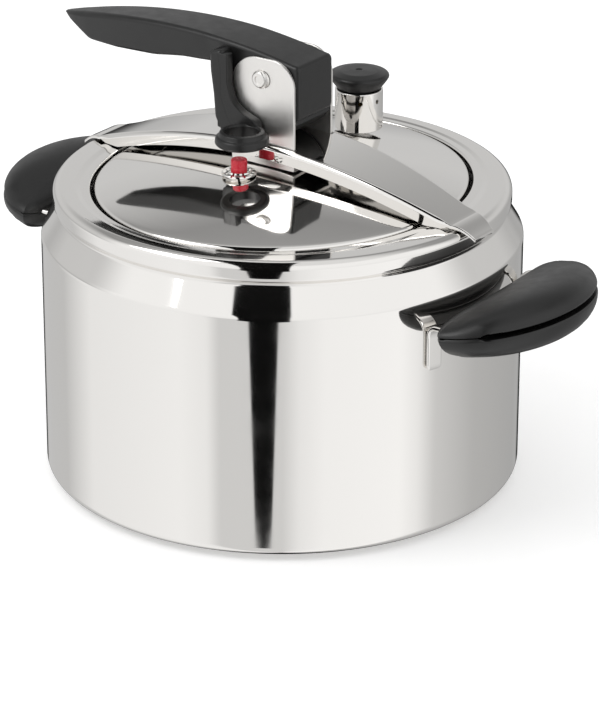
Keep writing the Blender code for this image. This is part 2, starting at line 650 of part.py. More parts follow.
def lever_side_outline():
    """Side view of the lever: grip, head and cam, anticlockwise from the head's upper corner."""
    belly = PIVOT_HEIGHT - LEVER_BELLY
    corner = 5 * MM
    corner_top = lever_crest(LEVER_FACE - corner)
    outline = arc((LEVER_FACE - corner, corner_top - corner), corner, 0, 80, 4)
    for i in range(1, 12):
        x = LEVER_FACE - corner - (LEVER_FACE - corner + LEVER_TIP) * i / 12
        outline.append((x, lever_crest(x)))
    nose = 1.5 * MM
    nose_centre = (-LEVER_TIP + nose, lever_crest(-LEVER_TIP) - nose)
    outline += arc(nose_centre, nose, 100, 220, 4)
    chin = 15 * MM
    outline += arc((-LEVER_TIP + nose + chin, belly + chin), chin, 236, 270, 4)
    dip = -LEVER_TIP + nose + chin
    neck = 10 * MM
    run = -LEVER_HEEL - neck - dip
    for share in (0.35, 0.6, 0.8, 0.92):
        outline.append((dip + share * run, belly + LEVER_ARCH * share ** 2.4))
    outline += arc((-LEVER_HEEL - neck, belly + LEVER_ARCH - neck), neck, 90, 0, 6)
    cam = [cam_point(angle) for angle in (-36, -24, -12, 0, 8, 16, 24, 32, 40, 47.5)]
    outline += [(-LEVER_HEEL, PIVOT_HEIGHT - 17 * MM)] + cam
    outline.append((LEVER_FACE, cam[-1][1] + 0.6 * MM))
    return outline


def lever_plan_outline():
    """Plan of the lever: parallel at the head, leaf-shaped towards the tip."""
    side = []
    for i in range(13):
        share = (i / 12) ** 1.8
        x = -LEVER_TIP + share * (LEVER_TIP - 30 * MM)
        leaf = (1 - (1 - share) ** 2.6) ** 0.5
        side.append((x, LEVER_HALF_WIDTH * leaf * (0.82 + 0.18 * share)))
    side.append((LEVER_FACE + 5 * MM, LEVER_HALF_WIDTH))
    return [(x, -y) for x, y in side] + [(x, y) for x, y in side[:0:-1]]


def arm_outline():
    """Front view of the arm that carries the ring: a rib that flares to the right at its foot."""
    left = -LEVER_HEEL - 1.3 * MM
    right = -15.5 * MM
    foot = RING_BOTTOM + RING_HEIGHT
    flare = [(right, PIVOT_HEIGHT - 5 * MM), (right + 2.2 * MM, PIVOT_HEIGHT - 12 * MM),
             (right + 7 * MM, PIVOT_HEIGHT - 16.2 * MM), (right + 14.5 * MM, foot + 1.8 * MM),
             (right + 19 * MM, foot - 0.5 * MM)]
    low = RING_BOTTOM + 0.25 * MM
    top = PIVOT_HEIGHT + 10.5 * MM
    return [(left + 2 * MM, low), (right + 19 * MM, low)] + flare[::-1] + [
        (right, top - 2.5 * MM), (right - 2 * MM, top), (left + 2 * MM, top), (left, top - 2.5 * MM),
        (left, low + 5 * MM)]


def build_lever(parent):
    """Moulded lever with its cam head, and the arm and ring that the indicator locks."""
    width = LEVER_HALF_WIDTH
    lever = sheet_outline("lever_handle", lever_side_outline(), -width, width, True, BAKELITE, parent)
    plan = sheet_outline("lever_plan_cutter", lever_plan_outline(), PIVOT_HEIGHT - 50 * MM,
                         PIVOT_HEIGHT + 50 * MM)
    combine(lever, plan, "INTERSECT")
    bush_radius = PIVOT_PIN_RADIUS + GAP + BUSH_WALL
    axle = disc("lever_axle_cutter", bush_radius + GAP, -2 * width, 2 * width, 20)
    axle.rotation_euler = (math.pi / 2, 0, 0)
    axle.location = (0, 0, PIVOT_HEIGHT)
    combine(lever, axle, "DIFFERENCE")
    front = width + GAP + EAR_SHEET + 3 * GAP
    arm = sheet_outline("arm_body", arm_outline(), -front - ARM_THICK, -front, True)
    combine(lever, arm, "UNION")
    root = block("arm_root", (-LEVER_HEEL - 0.9 * MM, -front - 0.5 * MM, RING_BOTTOM + 6 * MM),
                 (-EAR_HALF_LENGTH - 2.5 * GAP, -width + 1 * MM, PIVOT_HEIGHT + 9 * MM))
    combine(lever, root, "UNION")
    ring_x, ring_y = RING_CENTRE
    ring_top = RING_BOTTOM + RING_HEIGHT
    ring = turned("ring_body", [(0, ring_top), (RING_RADIUS - 1.2 * MM, ring_top),
                                (RING_RADIUS, ring_top - 1.2 * MM), (RING_RADIUS, RING_BOTTOM + 1 * MM),
                                (RING_RADIUS - 1 * MM, RING_BOTTOM), (0, RING_BOTTOM)], 30, None, None,
                  (ring_x, ring_y, 0))
    combine(lever, ring, "UNION")
    web = sheet_outline("ring_web", [(-LEVER_HEEL + 0.5 * MM, -front - 0.4 * MM),
                                     (-LEVER_HEEL + 0.5 * MM, -front - ARM_THICK + 0.6 * MM),
                                     (ring_x - 0.7 * RING_RADIUS, ring_y - 0.6 * RING_RADIUS),
                                     (ring_x, ring_y), (ring_x + 0.8 * RING_RADIUS, ring_y + 0.5 * RING_RADIUS),
                                     (ring_x + 5 * MM, -front - 0.4 * MM)],
                        RING_BOTTOM + 0.4 * MM, ring_top - 0.4 * MM)
    combine(lever, web, "UNION")
    hole = turned("ring_hole_cutter", [(0, ring_top + 2 * MM), (RING_HOLE + 1.2 * MM, ring_top + 2 * MM),
                                       (RING_HOLE + 1.2 * MM, ring_top - 0.8 * MM), (RING_HOLE, ring_top - 0.8 * MM),
                                       (RING_HOLE, RING_BOTTOM - 2 * MM), (0, RING_BOTTOM - 2 * MM)], 30, None, None,
                  (ring_x, ring_y, 0))
    combine(lever, hole, "DIFFERENCE")
    bush = turned("pivot_bush", [(bush_radius, width), (bush_radius, -width), (bush_radius - BUSH_WALL, -width),
                                 (bush_radius - BUSH_WALL, width)], 20, STEEL, parent, (0, 0, PIVOT_HEIGHT))
    bush.rotation_euler = (math.pi / 2, 0, 0)


# ================================================================== pressure indicator
def build_indicator(lid, lid_hub, pin_hub):
    """Castellated seat through the lid, its washer and nut, and the red pin that rises in it."""
    x, y = INDICATOR_CENTRE
    spot = (x, y, 0)
    plate_top, under = lid_seat(x, y, SEAT_RADIUS)
    foot = plate_top + GAP
    top = foot + SEAT_HEIGHT
    stem_end = under - 6.2 * MM
    bore = PIN_STEM_RADIUS + GAP
    cup = PIN_RADIUS + 1.9 * MM
    cup_floor = foot + 0.8 * MM
    seat = turned("indicator_seat",
                  [(cup, top), (SEAT_RADIUS - 0.8 * MM, top), (SEAT_RADIUS, top - 0.8 * MM), (SEAT_RADIUS, foot),
                   (SEAT_STEM_RADIUS, foot), (SEAT_STEM_RADIUS, stem_end), (bore, stem_end), (bore, cup_floor),
                   (cup, cup_floor)], 32, STEEL, lid_hub, spot)
    for i in range(3):
        notch = block("seat_notch_%d" % (i + 1), (-2 * SEAT_RADIUS, -1.1 * MM, top - 1.5 * MM),
                      (2 * SEAT_RADIUS, 1.1 * MM, top + 3 * MM))
        notch.location = spot
        notch.rotation_euler = (0, 0, math.radians(60 * i + 20))
        combine(seat, notch, "DIFFERENCE")
    lid_hole = disc("seat_hole_cutter", SEAT_STEM_RADIUS + GAP, under - 5 * MM, plate_top + 5 * MM, 24, None, None,
                    spot)
    combine(lid, lid_hole, "DIFFERENCE")
    washer_top = under - GAP
    washer_low = washer_top - 1.6 * MM
    turned("indicator_washer", [(SEAT_RADIUS, washer_top), (SEAT_RADIUS, washer_low),
                                (SEAT_STEM_RADIUS + GAP, washer_low), (SEAT_STEM_RADIUS + GAP, washer_top)],
           24, RUBBER, lid_hub, spot)
    nut_top = washer_low - GAP
    hex_nut("indicator_nut", 7.6 * MM, SEAT_STEM_RADIUS + GAP, nut_top - 3 * MM, nut_top, lid_hub, spot)
    shoulder = cup_floor + GAP
    clip_top = stem_end - PIN_TRAVEL - 2 * GAP
    clip = 0.9 * MM
    groove = PIN_STEM_RADIUS - 0.7 * MM
    pin_end = clip_top - clip - 1.2 * MM
    turned("indicator_pin",
           [(0, PIN_TOP), (PIN_RADIUS - 0.9 * MM, PIN_TOP - 0.2 * MM), (PIN_RADIUS, PIN_TOP - 1.2 * MM),
            (PIN_RADIUS, shoulder), (PIN_STEM_RADIUS, shoulder), (PIN_STEM_RADIUS, clip_top + GAP),
            (groove, clip_top + GAP), (groove, clip_top - clip - GAP), (PIN_STEM_RADIUS, clip_top - clip - GAP),
            (PIN_STEM_RADIUS, pin_end), (0, pin_end)], 20, RED_PLASTIC, pin_hub, spot)
    turned("indicator_clip", [(3.6 * MM, clip_top), (3.6 * MM, clip_top - clip), (groove + GAP, clip_top - clip),
                              (groove + GAP, clip_top)], 20, STEEL, pin_hub, spot)


# ================================================================== steam valve
def build_valve(lid, lid_hub, cap_hub):
    """Hollow stem fixed in the lid, and the cap that is pulled up to let the steam out."""
    x, y = VALVE_CENTRE
    spot = (x, y, 0)
    stem = VALVE_STEM_RADIUS
    bore = 1.4 * MM
    flange = 7 * MM
    plate_top, under = lid_seat(x, y, flange)
    foot = plate_top + GAP
    stem_top = foot + 7 * MM
    stem_end = under - 6.6 * MM
    turned("valve_stem",
           [(bore, stem_top), (stem - 1.2 * MM, stem_top), (stem, stem_top - 1.2 * MM), (stem, foot + 2.4 * MM),
            (flange, foot + 2.4 * MM), (flange, foot), (stem, foot), (stem, stem_end), (bore, stem_end)],
           20, STEEL, lid_hub, spot)
    lid_hole = disc("stem_hole_cutter", stem + GAP, under - 5 * MM, plate_top + 5 * MM, 20, None, None, spot)
    combine(lid, lid_hole, "DIFFERENCE")
    washer_top = under - GAP
    washer_low = washer_top - 1.6 * MM
    turned("valve_washer", [(flange, washer_top), (flange, washer_low), (stem + GAP, washer_low),
                            (stem + GAP, washer_top)], 20, RUBBER, lid_hub, spot)
    nut_top = washer_low - GAP
    nut_low = nut_top - 3.2 * MM
    hex_nut("valve_nut", 7.2 * MM, stem + GAP, nut_low, nut_top, lid_hub, spot)

    low = lid_seat(x, y, SLEEVE_RADIUS)[0] + SLEEVE_CLEARANCE
    high = low + SLEEVE_HEIGHT
    inner = SLEEVE_RADIUS - SLEEVE_WALL
    screw = 1.8 * MM
    sleeve = turned("valve_sleeve",
                    [(screw + GAP, high), (SLEEVE_RADIUS - 0.6 * MM, high), (SLEEVE_RADIUS, high - 0.6 * MM),
                     (SLEEVE_RADIUS, low), (inner, low), (inner, high - SLEEVE_WALL),
                     (screw + GAP, high - SLEEVE_WALL)], 32, STEEL, cap_hub, spot)
    for i in range(VENT_COUNT // 2):
        vent = disc("vent_cutter_%d" % (i + 1), VENT_RADIUS, -2 * SLEEVE_RADIUS, 2 * SLEEVE_RADIUS, 12)
        vent.rotation_euler = (math.pi / 2, 0, math.radians(45 * i + 38.5))
        vent.location = (x, y, high - 4.6 * MM)
        combine(sleeve, vent, "DIFFERENCE")
    knob_low = high + GAP
    wide = knob_low + 0.75 * KNOB_HEIGHT
    knob_top = knob_low + KNOB_HEIGHT
    grip = 10.3 * MM
    screw_top = knob_low + 5 * MM
    turned("valve_knob",
           [(0, knob_top), (0.5 * KNOB_RADIUS, knob_top - 0.2 * MM), (0.86 * KNOB_RADIUS, knob_top - 0.9 * MM),
            (0.97 * KNOB_RADIUS, knob_top - 1.7 * MM), (KNOB_RADIUS, wide - 0.6 * MM),
            (0.95 * KNOB_RADIUS, wide - 2.4 * MM), (grip + 0.6 * MM, knob_low + 0.5 * MM), (grip, knob_low),
            (screw + GAP, knob_low), (screw + GAP, screw_top + GAP), (0, screw_top + GAP)],
           28, BAKELITE, cap_hub, spot)
    roof = high - SLEEVE_WALL
    seat = stem_top + GAP
    weight = 6.4 * MM
    turned("valve_weight",
           [(0, screw_top), (screw, screw_top), (screw, roof - GAP), (weight, roof - GAP),
            (weight, seat + 2.4 * MM), (bore + 0.8 * MM, seat), (bore - GAP, seat),
            (0.4 * MM, seat - 1.8 * MM), (0, seat - 1.8 * MM)], 24, BRASS, cap_hub, spot)


# ================================================================== assembly
def build_cooker():
    """Builds every piece; empties stand on the joints' axes."""
    pot_hub = make_empty("pot_hub")
    lid_hub = make_empty("lid_hub", parent=pot_hub)
    lever_hub = make_empty("lever_axis", parent=lid_hub)
    pin_hub = make_empty("indicator_axis", parent=lid_hub)
    cap_hub = make_empty("valve_cap_axis", parent=lid_hub)
    build_pot(pot_hub)
    for side in HANDLE_TURNS:
        build_handle(side, pot_hub)
    build_bridge(pot_hub)
    lid = build_lid(lid_hub)
    build_bracket(lid, lid_hub)
    pivot = make_empty("pivot_axis", (0, 0, PIVOT_HEIGHT), parent=lid_hub)
    build_pivot(pivot)
    build_lever(lever_hub)
    build_indicator(lid, lid_hub, pin_hub)
    build_valve(lid, lid_hub, cap_hub)


build_cooker()
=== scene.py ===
"""Looks of a lever-lid pressure cooker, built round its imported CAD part.

X runs along the bridge and through both side handles, the lever points to -X, the red indicator
is on the -Y side and the steam valve on the +Y side. All sizes are in millimetres until a
surface becomes a mesh.
"""
import json
import math

import bmesh
import bpy
import numpy as np
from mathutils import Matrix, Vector


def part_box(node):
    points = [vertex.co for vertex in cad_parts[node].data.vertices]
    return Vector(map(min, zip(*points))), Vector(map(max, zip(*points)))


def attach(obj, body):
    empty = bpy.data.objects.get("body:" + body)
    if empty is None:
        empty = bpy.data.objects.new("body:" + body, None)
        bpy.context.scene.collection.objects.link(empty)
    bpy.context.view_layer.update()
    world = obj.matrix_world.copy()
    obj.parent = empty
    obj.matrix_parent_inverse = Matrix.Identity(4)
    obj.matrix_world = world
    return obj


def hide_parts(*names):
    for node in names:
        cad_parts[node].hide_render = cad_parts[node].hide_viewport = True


bl_info = {
    "name": "Lever-lid pressure cooker",
    "version": (1, 0, 0),
    "blender": (4, 5, 0),
    "location": "3D View > Sidebar > Cooker",
    "description": "Detailed pieces and studio for a polished steel pressure cooker",
    "category": "Object",
}

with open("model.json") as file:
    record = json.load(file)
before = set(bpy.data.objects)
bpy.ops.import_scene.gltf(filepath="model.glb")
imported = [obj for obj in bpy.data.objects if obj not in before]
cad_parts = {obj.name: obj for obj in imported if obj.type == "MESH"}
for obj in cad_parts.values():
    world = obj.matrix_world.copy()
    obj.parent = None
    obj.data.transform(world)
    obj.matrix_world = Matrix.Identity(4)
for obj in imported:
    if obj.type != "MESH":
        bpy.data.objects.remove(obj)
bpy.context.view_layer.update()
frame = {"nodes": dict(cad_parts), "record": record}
MM = 0.001
TURN_STEPS = 192             # points round the pot, lid and rim
SMALL_STEPS = 72             # points round small turned pieces


# ================================================================== settings
def size_setting(name, description, default):
    """A size in millimetres."""
    return bpy.props.FloatProperty(name=name, description=description + ", mm", default=default, min=20.0)


def colour_setting(name, description, default):
    """A colour as an sRGB hex string."""
    return bpy.props.StringProperty(name=name, description=description, default=default)


class CookerSizes(bpy.types.PropertyGroup):
    """Main sizes, in millimetres."""

    pot_radius: size_setting("Pot radius", "Outside of the straight wall", 112.0)
    rim_height: size_setting("Rim height", "Top of the rolled rim", 142.3)
    mouth_long: size_setting("Mouth, long half", "Half of the mouth across the bridge", 93.0)
    mouth_short: size_setting("Mouth, short half", "Half of the mouth along the bridge", 86.0)
    crown_height: size_setting("Lid height", "Top of the lid's crown", 153.0)
    bridge_height: size_setting("Bridge height", "Top of the arch", 164.3)
    pivot_height: size_setting("Pivot height", "Axis of the lever", 194.5)
    parting_height: size_setting("Parting height", "Where the side handles' shells part", 107.7)


class CookerColours(bpy.types.PropertyGroup):
    """Colours of the real materials, as sRGB hex strings."""

    steel: colour_setting("Steel", "Reflected colour of polished steel", "EFEDEA")
    bakelite: colour_setting("Bakelite", "Moulded black thermoset", "171717")
    red: colour_setting("Indicator red", "Red indicator pin", "D0303F")
    brass: colour_setting("Brass", "Turned brass", "D9BC7A")
    aluminium: colour_setting("Aluminium", "Pressed aluminium", "DADCDD")
    rubber: colour_setting("Rubber", "Gasket rubber", "1A1A1A")
    floor: colour_setting("Floor", "Studio floor", "F4F4F4")


# ================================================================== materials
def linear(code):
    """sRGB hex string to linear colour with alpha."""
    channels = np.array([int(code[i:i + 2], 16) for i in (0, 2, 4)]) / 255
    values = np.where(channels <= 0.04045, channels / 12.92, ((channels + 0.055) / 1.055) ** 2.4)
    return (*values.tolist(), 1.0)


def add_node(tree, kind, settings=None, **inputs):
    """Adds a node with its properties and its inputs: a socket links, anything else is a value.

    Input names use _ for spaces.
    """
    node = tree.nodes.new(kind)
    for key, value in (settings or {}).items():
        setattr(node, key, value)
    for key, value in inputs.items():
        socket = node.inputs[key.replace("_", " ")]
        if isinstance(value, bpy.types.NodeSocket):
            tree.links.new(value, socket)
        else:
            socket.default_value = value
    return node


def new_material(name):
    """An empty material and its tree, with the shader linked to the output."""
    material = bpy.data.materials.new(name)
    material.use_nodes = True
    tree = material.node_tree
    tree.nodes.clear()
    shader = tree.nodes.new("ShaderNodeBsdfPrincipled")
    output = tree.nodes.new("ShaderNodeOutputMaterial")
    tree.links.new(shader.outputs["BSDF"], output.inputs["Surface"])
    return material, tree, shader


def noise(tree, size_mm, detail=3.0, stretch=(1, 1, 1)):
    """Noise whose grains are about the given size in Object coordinates, which are metres."""
    place = tree.nodes.new("ShaderNodeTexCoord")
    scaled = add_node(tree, "ShaderNodeMapping", Vector=place.outputs["Object"], Scale=stretch)
    return add_node(tree, "ShaderNodeTexNoise", Vector=scaled.outputs["Vector"], Scale=1000 / size_mm,
                    Detail=detail).outputs["Fac"]


def spread(tree, fac, low, high):
    """Maps noise around its middle to the range low to high."""
    return add_node(tree, "ShaderNodeMapRange", Value=fac, From_Min=0.3, From_Max=0.7, To_Min=low,
                    To_Max=high).outputs["Result"]


def bumped(tree, fac, height_mm, strength=1.0):
    """Surface normal moved by a height pattern."""
    bump = add_node(tree, "ShaderNodeBump", Height=fac, Strength=strength, Distance=height_mm * MM)
    return bump.outputs["Normal"]


def polished_steel(colours):
    """Stainless sheet, mirror-polished, with faint polishing haze and a trace of press waviness."""
    material, tree, shader = new_material("stainless_mirror_polished")
    haze = noise(tree, 18, 4)
    fine = noise(tree, 1.2, 2)
    shader.inputs["Base Color"].default_value = linear(colours.steel)
    shader.inputs["Metallic"].default_value = 1.0
    tree.links.new(spread(tree, haze, 0.035, 0.075), shader.inputs["Roughness"])
    tree.links.new(bumped(tree, fine, 0.004, 0.06), shader.inputs["Normal"])
    return material


def satin_steel(colours):
    """Stainless sheet left with a fine satin finish: brackets, screws and rivets."""
    material, tree, shader = new_material("stainless_satin")
    grain = noise(tree, 0.5, 2, (1, 1, 0.1))
    shader.inputs["Base Color"].default_value = linear(colours.steel)
    shader.inputs["Metallic"].default_value = 1.0
    tree.links.new(spread(tree, grain, 0.3, 0.4), shader.inputs["Roughness"])
    tree.links.new(bumped(tree, grain, 0.006, 0.12), shader.inputs["Normal"])
    return material


def moulded_bakelite(colours):
    """Black thermoset, moulded in a lightly textured tool: satin with soft highlights."""
    material, tree, shader = new_material("bakelite_moulded")
    mottle = noise(tree, 6, 5)
    grain = noise(tree, 0.35, 2)
    ramp = add_node(tree, "ShaderNodeMix", {"data_type": "RGBA"}, Factor=spread(tree, mottle, 0.0, 1.0))
    base = linear(colours.bakelite)
    ramp.inputs["A"].default_value = tuple(0.85 * c for c in base[:3]) + (1.0,)
    ramp.inputs["B"].default_value = base
    tree.links.new(ramp.outputs["Result"], shader.inputs["Base Color"])
    tree.links.new(spread(tree, mottle, 0.32, 0.41), shader.inputs["Roughness"])
    tree.links.new(bumped(tree, grain, 0.02, 0.25), shader.inputs["Normal"])
    return material


def plain_material(name, code, metallic, rough_low, rough_high, grain_mm, bump_mm):
    """Base for the smaller materials: one colour with varied roughness and a fine bump."""
    material, tree, shader = new_material(name)
    grain = noise(tree, grain_mm, 3)
    shader.inputs["Base Color"].default_value = linear(code)
    shader.inputs["Metallic"].default_value = metallic
    tree.links.new(spread(tree, grain, rough_low, rough_high), shader.inputs["Roughness"])
    tree.links.new(bumped(tree, grain, bump_mm, 0.3), shader.inputs["Normal"])
    return material


def red_plastic(colours):
    """Red injection-moulded pin, glossy and slightly translucent."""
    material = plain_material("plastic_red_moulded", colours.red, 0.0, 0.22, 0.3, 2.0, 0.01)
    shader = material.node_tree.nodes["Principled BSDF"]
    shader.inputs["Subsurface Weight"].default_value = 0.15
    shader.inputs["Subsurface Radius"].default_value = (0.002, 0.0008, 0.0006)
    return material


def turned_brass(colours):
    """Brass turned on a lathe."""
    return plain_material("brass_turned", colours.brass, 1.0, 0.18, 0.3, 0.6, 0.01)


def pressed_aluminium(colours):
    """Aluminium disc, pressed and left plain."""
    return plain_material("aluminium_pressed", colours.aluminium, 1.0, 0.35, 0.5, 0.8, 0.02)


def gasket_rubber(colours):
    """Black gasket rubber, compression-moulded."""
    return plain_material("rubber_moulded", colours.rubber, 0.0, 0.55, 0.7, 0.9, 0.03)


MATERIALS = {"steel": polished_steel, "satin": satin_steel, "bakelite": moulded_bakelite,
             "red": red_plastic, "brass": turned_brass, "aluminium": pressed_aluminium,
             "rubber": gasket_rubber}
_made = {}


def material_of(key):
    """The material of that key, made once."""
    if key not in _made:
        _made[key] = MATERIALS[key](bpy.context.scene.cooker_colours)
    return _made[key]


# ================================================================== surfaces
def rounded(corners, radii, closed=False, count=7):
    """The path through some corners with each corner replaced by a circular arc of its radius.

    Each arc is a rational quadratic curve whose middle weight is the sine of half the corner's
    angle. Corners with radius 0 are kept. Returns an array of points.
    """
    corners = np.asarray(corners, float)
    last = len(corners) - 1
    path = []
    for i, (corner, radius) in enumerate(zip(corners, radii)):
        if radius <= 0 or (not closed and i in (0, last)):
            path.append(corner)
            continue
        before = corners[i - 1] - corner
        after = corners[(i + 1) % (last + 1)] - corner
        long_before, long_after = np.linalg.norm(before), np.linalg.norm(after)
        before, after = before / long_before, after / long_after
        half = 0.5 * math.acos(np.clip(before @ after, -1, 1))
        reach = min(radius / math.tan(half), 0.48 * long_before, 0.48 * long_after)
        weight = math.sin(half)
        for t in np.linspace(0, 1, count):
            mix = np.array([(1 - t) ** 2, 2 * t * (1 - t) * weight, t ** 2])
            trio = np.array([corner + before * reach, corner, corner + after * reach])
            path.append(mix @ trio / mix.sum())
    return np.array(path)


def resampled(path, count):
    """The same path with evenly spaced points along its length."""
    steps = np.r_[0, np.cumsum(np.linalg.norm(np.diff(path, axis=0), axis=1))]
    wanted = np.linspace(0, steps[-1], count)
    return np.stack([np.interp(wanted, steps, path[:, k]) for k in range(path.shape[1])], axis=1)


def turned(profile, steps=SMALL_STEPS, oval=None, squeeze=1.0, centre=(0, 0)):
    """Grid of a profile (radius, height) turned round Z, rows down the profile.

    Where oval is 1 the X radius is multiplied by squeeze; where it is 0 the row stays round.
    """
    profile = np.asarray(profile, float)
    weight = np.zeros(len(profile)) if oval is None else np.asarray(oval, float)
    angle = np.linspace(0, 2 * np.pi, steps, endpoint=False)
    x = np.outer(profile[:, 0] * (1 - weight * (1 - squeeze)), np.cos(angle)) + centre[0]
    y = np.outer(profile[:, 0], np.sin(angle)) + centre[1]
    z = np.repeat(profile[:, 1:], steps, axis=1)
    return np.stack([x, y, z], axis=2)


def capped(sections, start=(None, 0.0), end=(None, 0.0), rings=6):
    """Closes a run of sections with rounded ends.

    Each end is (outward direction, radius). Its rings move out by radius times the sine of a
    growing angle and in towards the section's middle by radius times one minus its cosine; the
    last ring is the middle itself.
    """
    def end_rings(section, direction, radius):
        middle = section.mean(axis=0)
        arms = section - middle
        length = np.linalg.norm(arms, axis=1, keepdims=True)
        rows = []
        if direction is not None and radius > 0:
            for angle in np.linspace(0, np.pi / 2, rings)[1:]:
                inset = np.minimum(radius * (1 - math.cos(angle)), 0.9 * length)
                moved = section - arms / np.maximum(length, 1e-9) * inset
                rows.append(moved + np.asarray(direction) * radius * math.sin(angle))
        tail = rows[-1].mean(axis=0) if rows else middle
        rows.append(np.repeat(tail[None], len(section), axis=0))
        return rows

    first = end_rings(sections[0], *start)
    final = end_rings(sections[-1], *end)
    return np.concatenate([np.array(first[::-1]), sections, np.array(final)])


def bar(upper, lower, upper_half, lower_half, corner, centre_y=0.0, crown=0.0, count=7):
    """Rounded bar between an upper and a lower path in XZ, as one section per pair of points.

    Each section is a rectangle with rounded corners, wide in Y and long from the upper to the
    lower point; its half width runs evenly from upper_half to lower_half, and the upper side
    bulges by crown in its middle.
    """
    upper, lower = np.asarray(upper, float), np.asarray(lower, float)
    total = len(upper)
    upper_half = np.broadcast_to(upper_half, total)
    lower_half = np.broadcast_to(lower_half, total)
    corner = np.broadcast_to(corner, total)
    quarter = np.linspace(0, np.pi / 2, count)
    sections = []
    for i in range(total):
        way = lower[i] - upper[i]
        length = max(np.linalg.norm(way), 1e-6)
        narrow = min(upper_half[i], lower_half[i])
        radius = min(corner[i], 0.45 * length, 0.9 * narrow)
        across, down = [], []
        corners = ((1, 0, quarter[::-1]), (1, 1, quarter), (-1, 1, quarter[::-1]), (-1, 0, quarter))
        for side, low, angles in corners:
            across.append(side * (1 - radius / narrow * (1 - np.cos(angles))))
            rise = radius * (1 - np.sin(angles))
            down.append(length - rise if low else rise)
        across, down = np.concatenate(across), np.concatenate(down)
        share = down / length
        y = across * (upper_half[i] + (lower_half[i] - upper_half[i]) * share) + centre_y
        x = upper[i, 0] + way[0] * share
        z = upper[i, 1] + way[1] * share + crown * (1 - across ** 2) * (1 - share) ** 4
        sections.append(np.stack([x, y, z], axis=1))
    return np.array(sections)


def turned_about(grid, angle, centre=(0, 0)):
    """The grid turned about a vertical axis."""
    c, s = math.cos(angle), math.sin(angle)
    x, y = grid[..., 0] - centre[0], grid[..., 1] - centre[1]
    return np.stack([c * x - s * y + centre[0], s * x + c * y + centre[1], grid[..., 2]], axis=-1)


def laid_along_y(grid, height, x=0.0):
    """A turned grid laid over so that its axis runs along -Y at a height."""
    return np.stack([grid[..., 0] + x, -grid[..., 2], grid[..., 1] + height], axis=-1)


def grid_faces(rows, columns, first, closed_rows=False):
    """Quads of a grid whose columns close round on themselves."""
    row = np.arange(rows if closed_rows else rows - 1)[:, None]
    column = np.arange(columns)[None, :]
    a = row * columns + column
    b = row * columns + (column + 1) % columns
    step = np.where(row == rows - 1, -(rows - 1) * columns, columns)
    return np.stack([a, b, b + step, a + step], axis=2).reshape(-1, 4) + first


def make_piece(name, grids, key, body, nodes, closed_rows=False, sharp=40.0, cuts=()):
    """Makes one object of closed grids, rides it on its body and lets it stand for CAD nodes."""
    points, faces, first = [], [], 0
    for grid in grids:
        rows, columns = grid.shape[:2]
        points.append(grid.reshape(-1, 3) * MM)
        faces.append(grid_faces(rows, columns, first, closed_rows))
        first += rows * columns
    points, faces = np.concatenate(points), np.concatenate(faces)
    mesh = bpy.data.meshes.new(name)
    mesh.from_pydata(points.tolist(), [], faces.tolist())
    tidy_mesh(mesh)
    piece = bpy.data.objects.new(name, mesh)
    bpy.context.scene.collection.objects.link(piece)
    for low, high in cuts:
        cut_block(piece, low, high)
    resharpen(piece, sharp)
    mesh.materials.append(material_of(key))
    weigh = piece.modifiers.new("Weighted normals", "WEIGHTED_NORMAL")
    weigh.keep_sharp = True
    weigh.weight = 90
    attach(piece, body)
    if nodes:
        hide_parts(*nodes)
    return piece


def tidy_mesh(mesh):
    """Welds seams and poles, drops flat faces and turns every face outward."""
    shape = bmesh.new()
    shape.from_mesh(mesh)
    bmesh.ops.remove_doubles(shape, verts=shape.verts, dist=0.002 * MM)
    bmesh.ops.dissolve_degenerate(shape, edges=shape.edges, dist=0.001 * MM)
    bmesh.ops.recalc_face_normals(shape, faces=shape.faces)
    shape.to_mesh(mesh)
    shape.free()


def cutter_grid(low, high):
    """Closed grid of a box between two corners."""
    x0, y0, z0 = low
    x1, y1, z1 = high
    base = np.array([(x0, y0), (x1, y0), (x1, y1), (x0, y1)], float)
    rings = [np.c_[base, np.full(4, z)] for z in (z0, z1)]
    centre = base.mean(axis=0)
    poles = [np.tile([*centre, z], (4, 1)) for z in (z0, z1)]
    return np.array([poles[0], *rings, poles[1]])


def cut_with(piece, cutter_mesh):
    """Takes a closed mesh out of a piece."""
    cutter = bpy.data.objects.new("cutter", cutter_mesh)
    bpy.context.scene.collection.objects.link(cutter)
    modifier = piece.modifiers.new("Cut", "BOOLEAN")
    modifier.operation = "DIFFERENCE"
    modifier.object = cutter
    bpy.context.view_layer.update()
    view = piece.evaluated_get(bpy.context.evaluated_depsgraph_get())
    result = bpy.data.meshes.new_from_object(view)
    piece.modifiers.remove(modifier)
    kept = piece.data
    piece.data.clear_geometry()
    shape = bmesh.new()
    shape.from_mesh(result)
    shape.to_mesh(kept)
    shape.free()
    bpy.data.objects.remove(cutter, do_unlink=True)


def mesh_of(grid):
    """Bare closed mesh of a grid, for a cutter."""
    mesh = bpy.data.meshes.new("cutter")
    rows, columns = grid.shape[:2]
    mesh.from_pydata((grid.reshape(-1, 3) * MM).tolist(), [], grid_faces(rows, columns, 0).tolist())
    tidy_mesh(mesh)
    return mesh


def resharpen(piece, degrees=30):
    """Smooth shading again after a cut, with edges sharper than an angle kept."""
    piece.data.shade_smooth()
    piece.data.set_sharp_from_angle(angle=math.radians(degrees))


def cut_block(piece, low, high):
    """Takes a box out of a piece."""
    cut_with(piece, mesh_of(cutter_grid(low, high)))


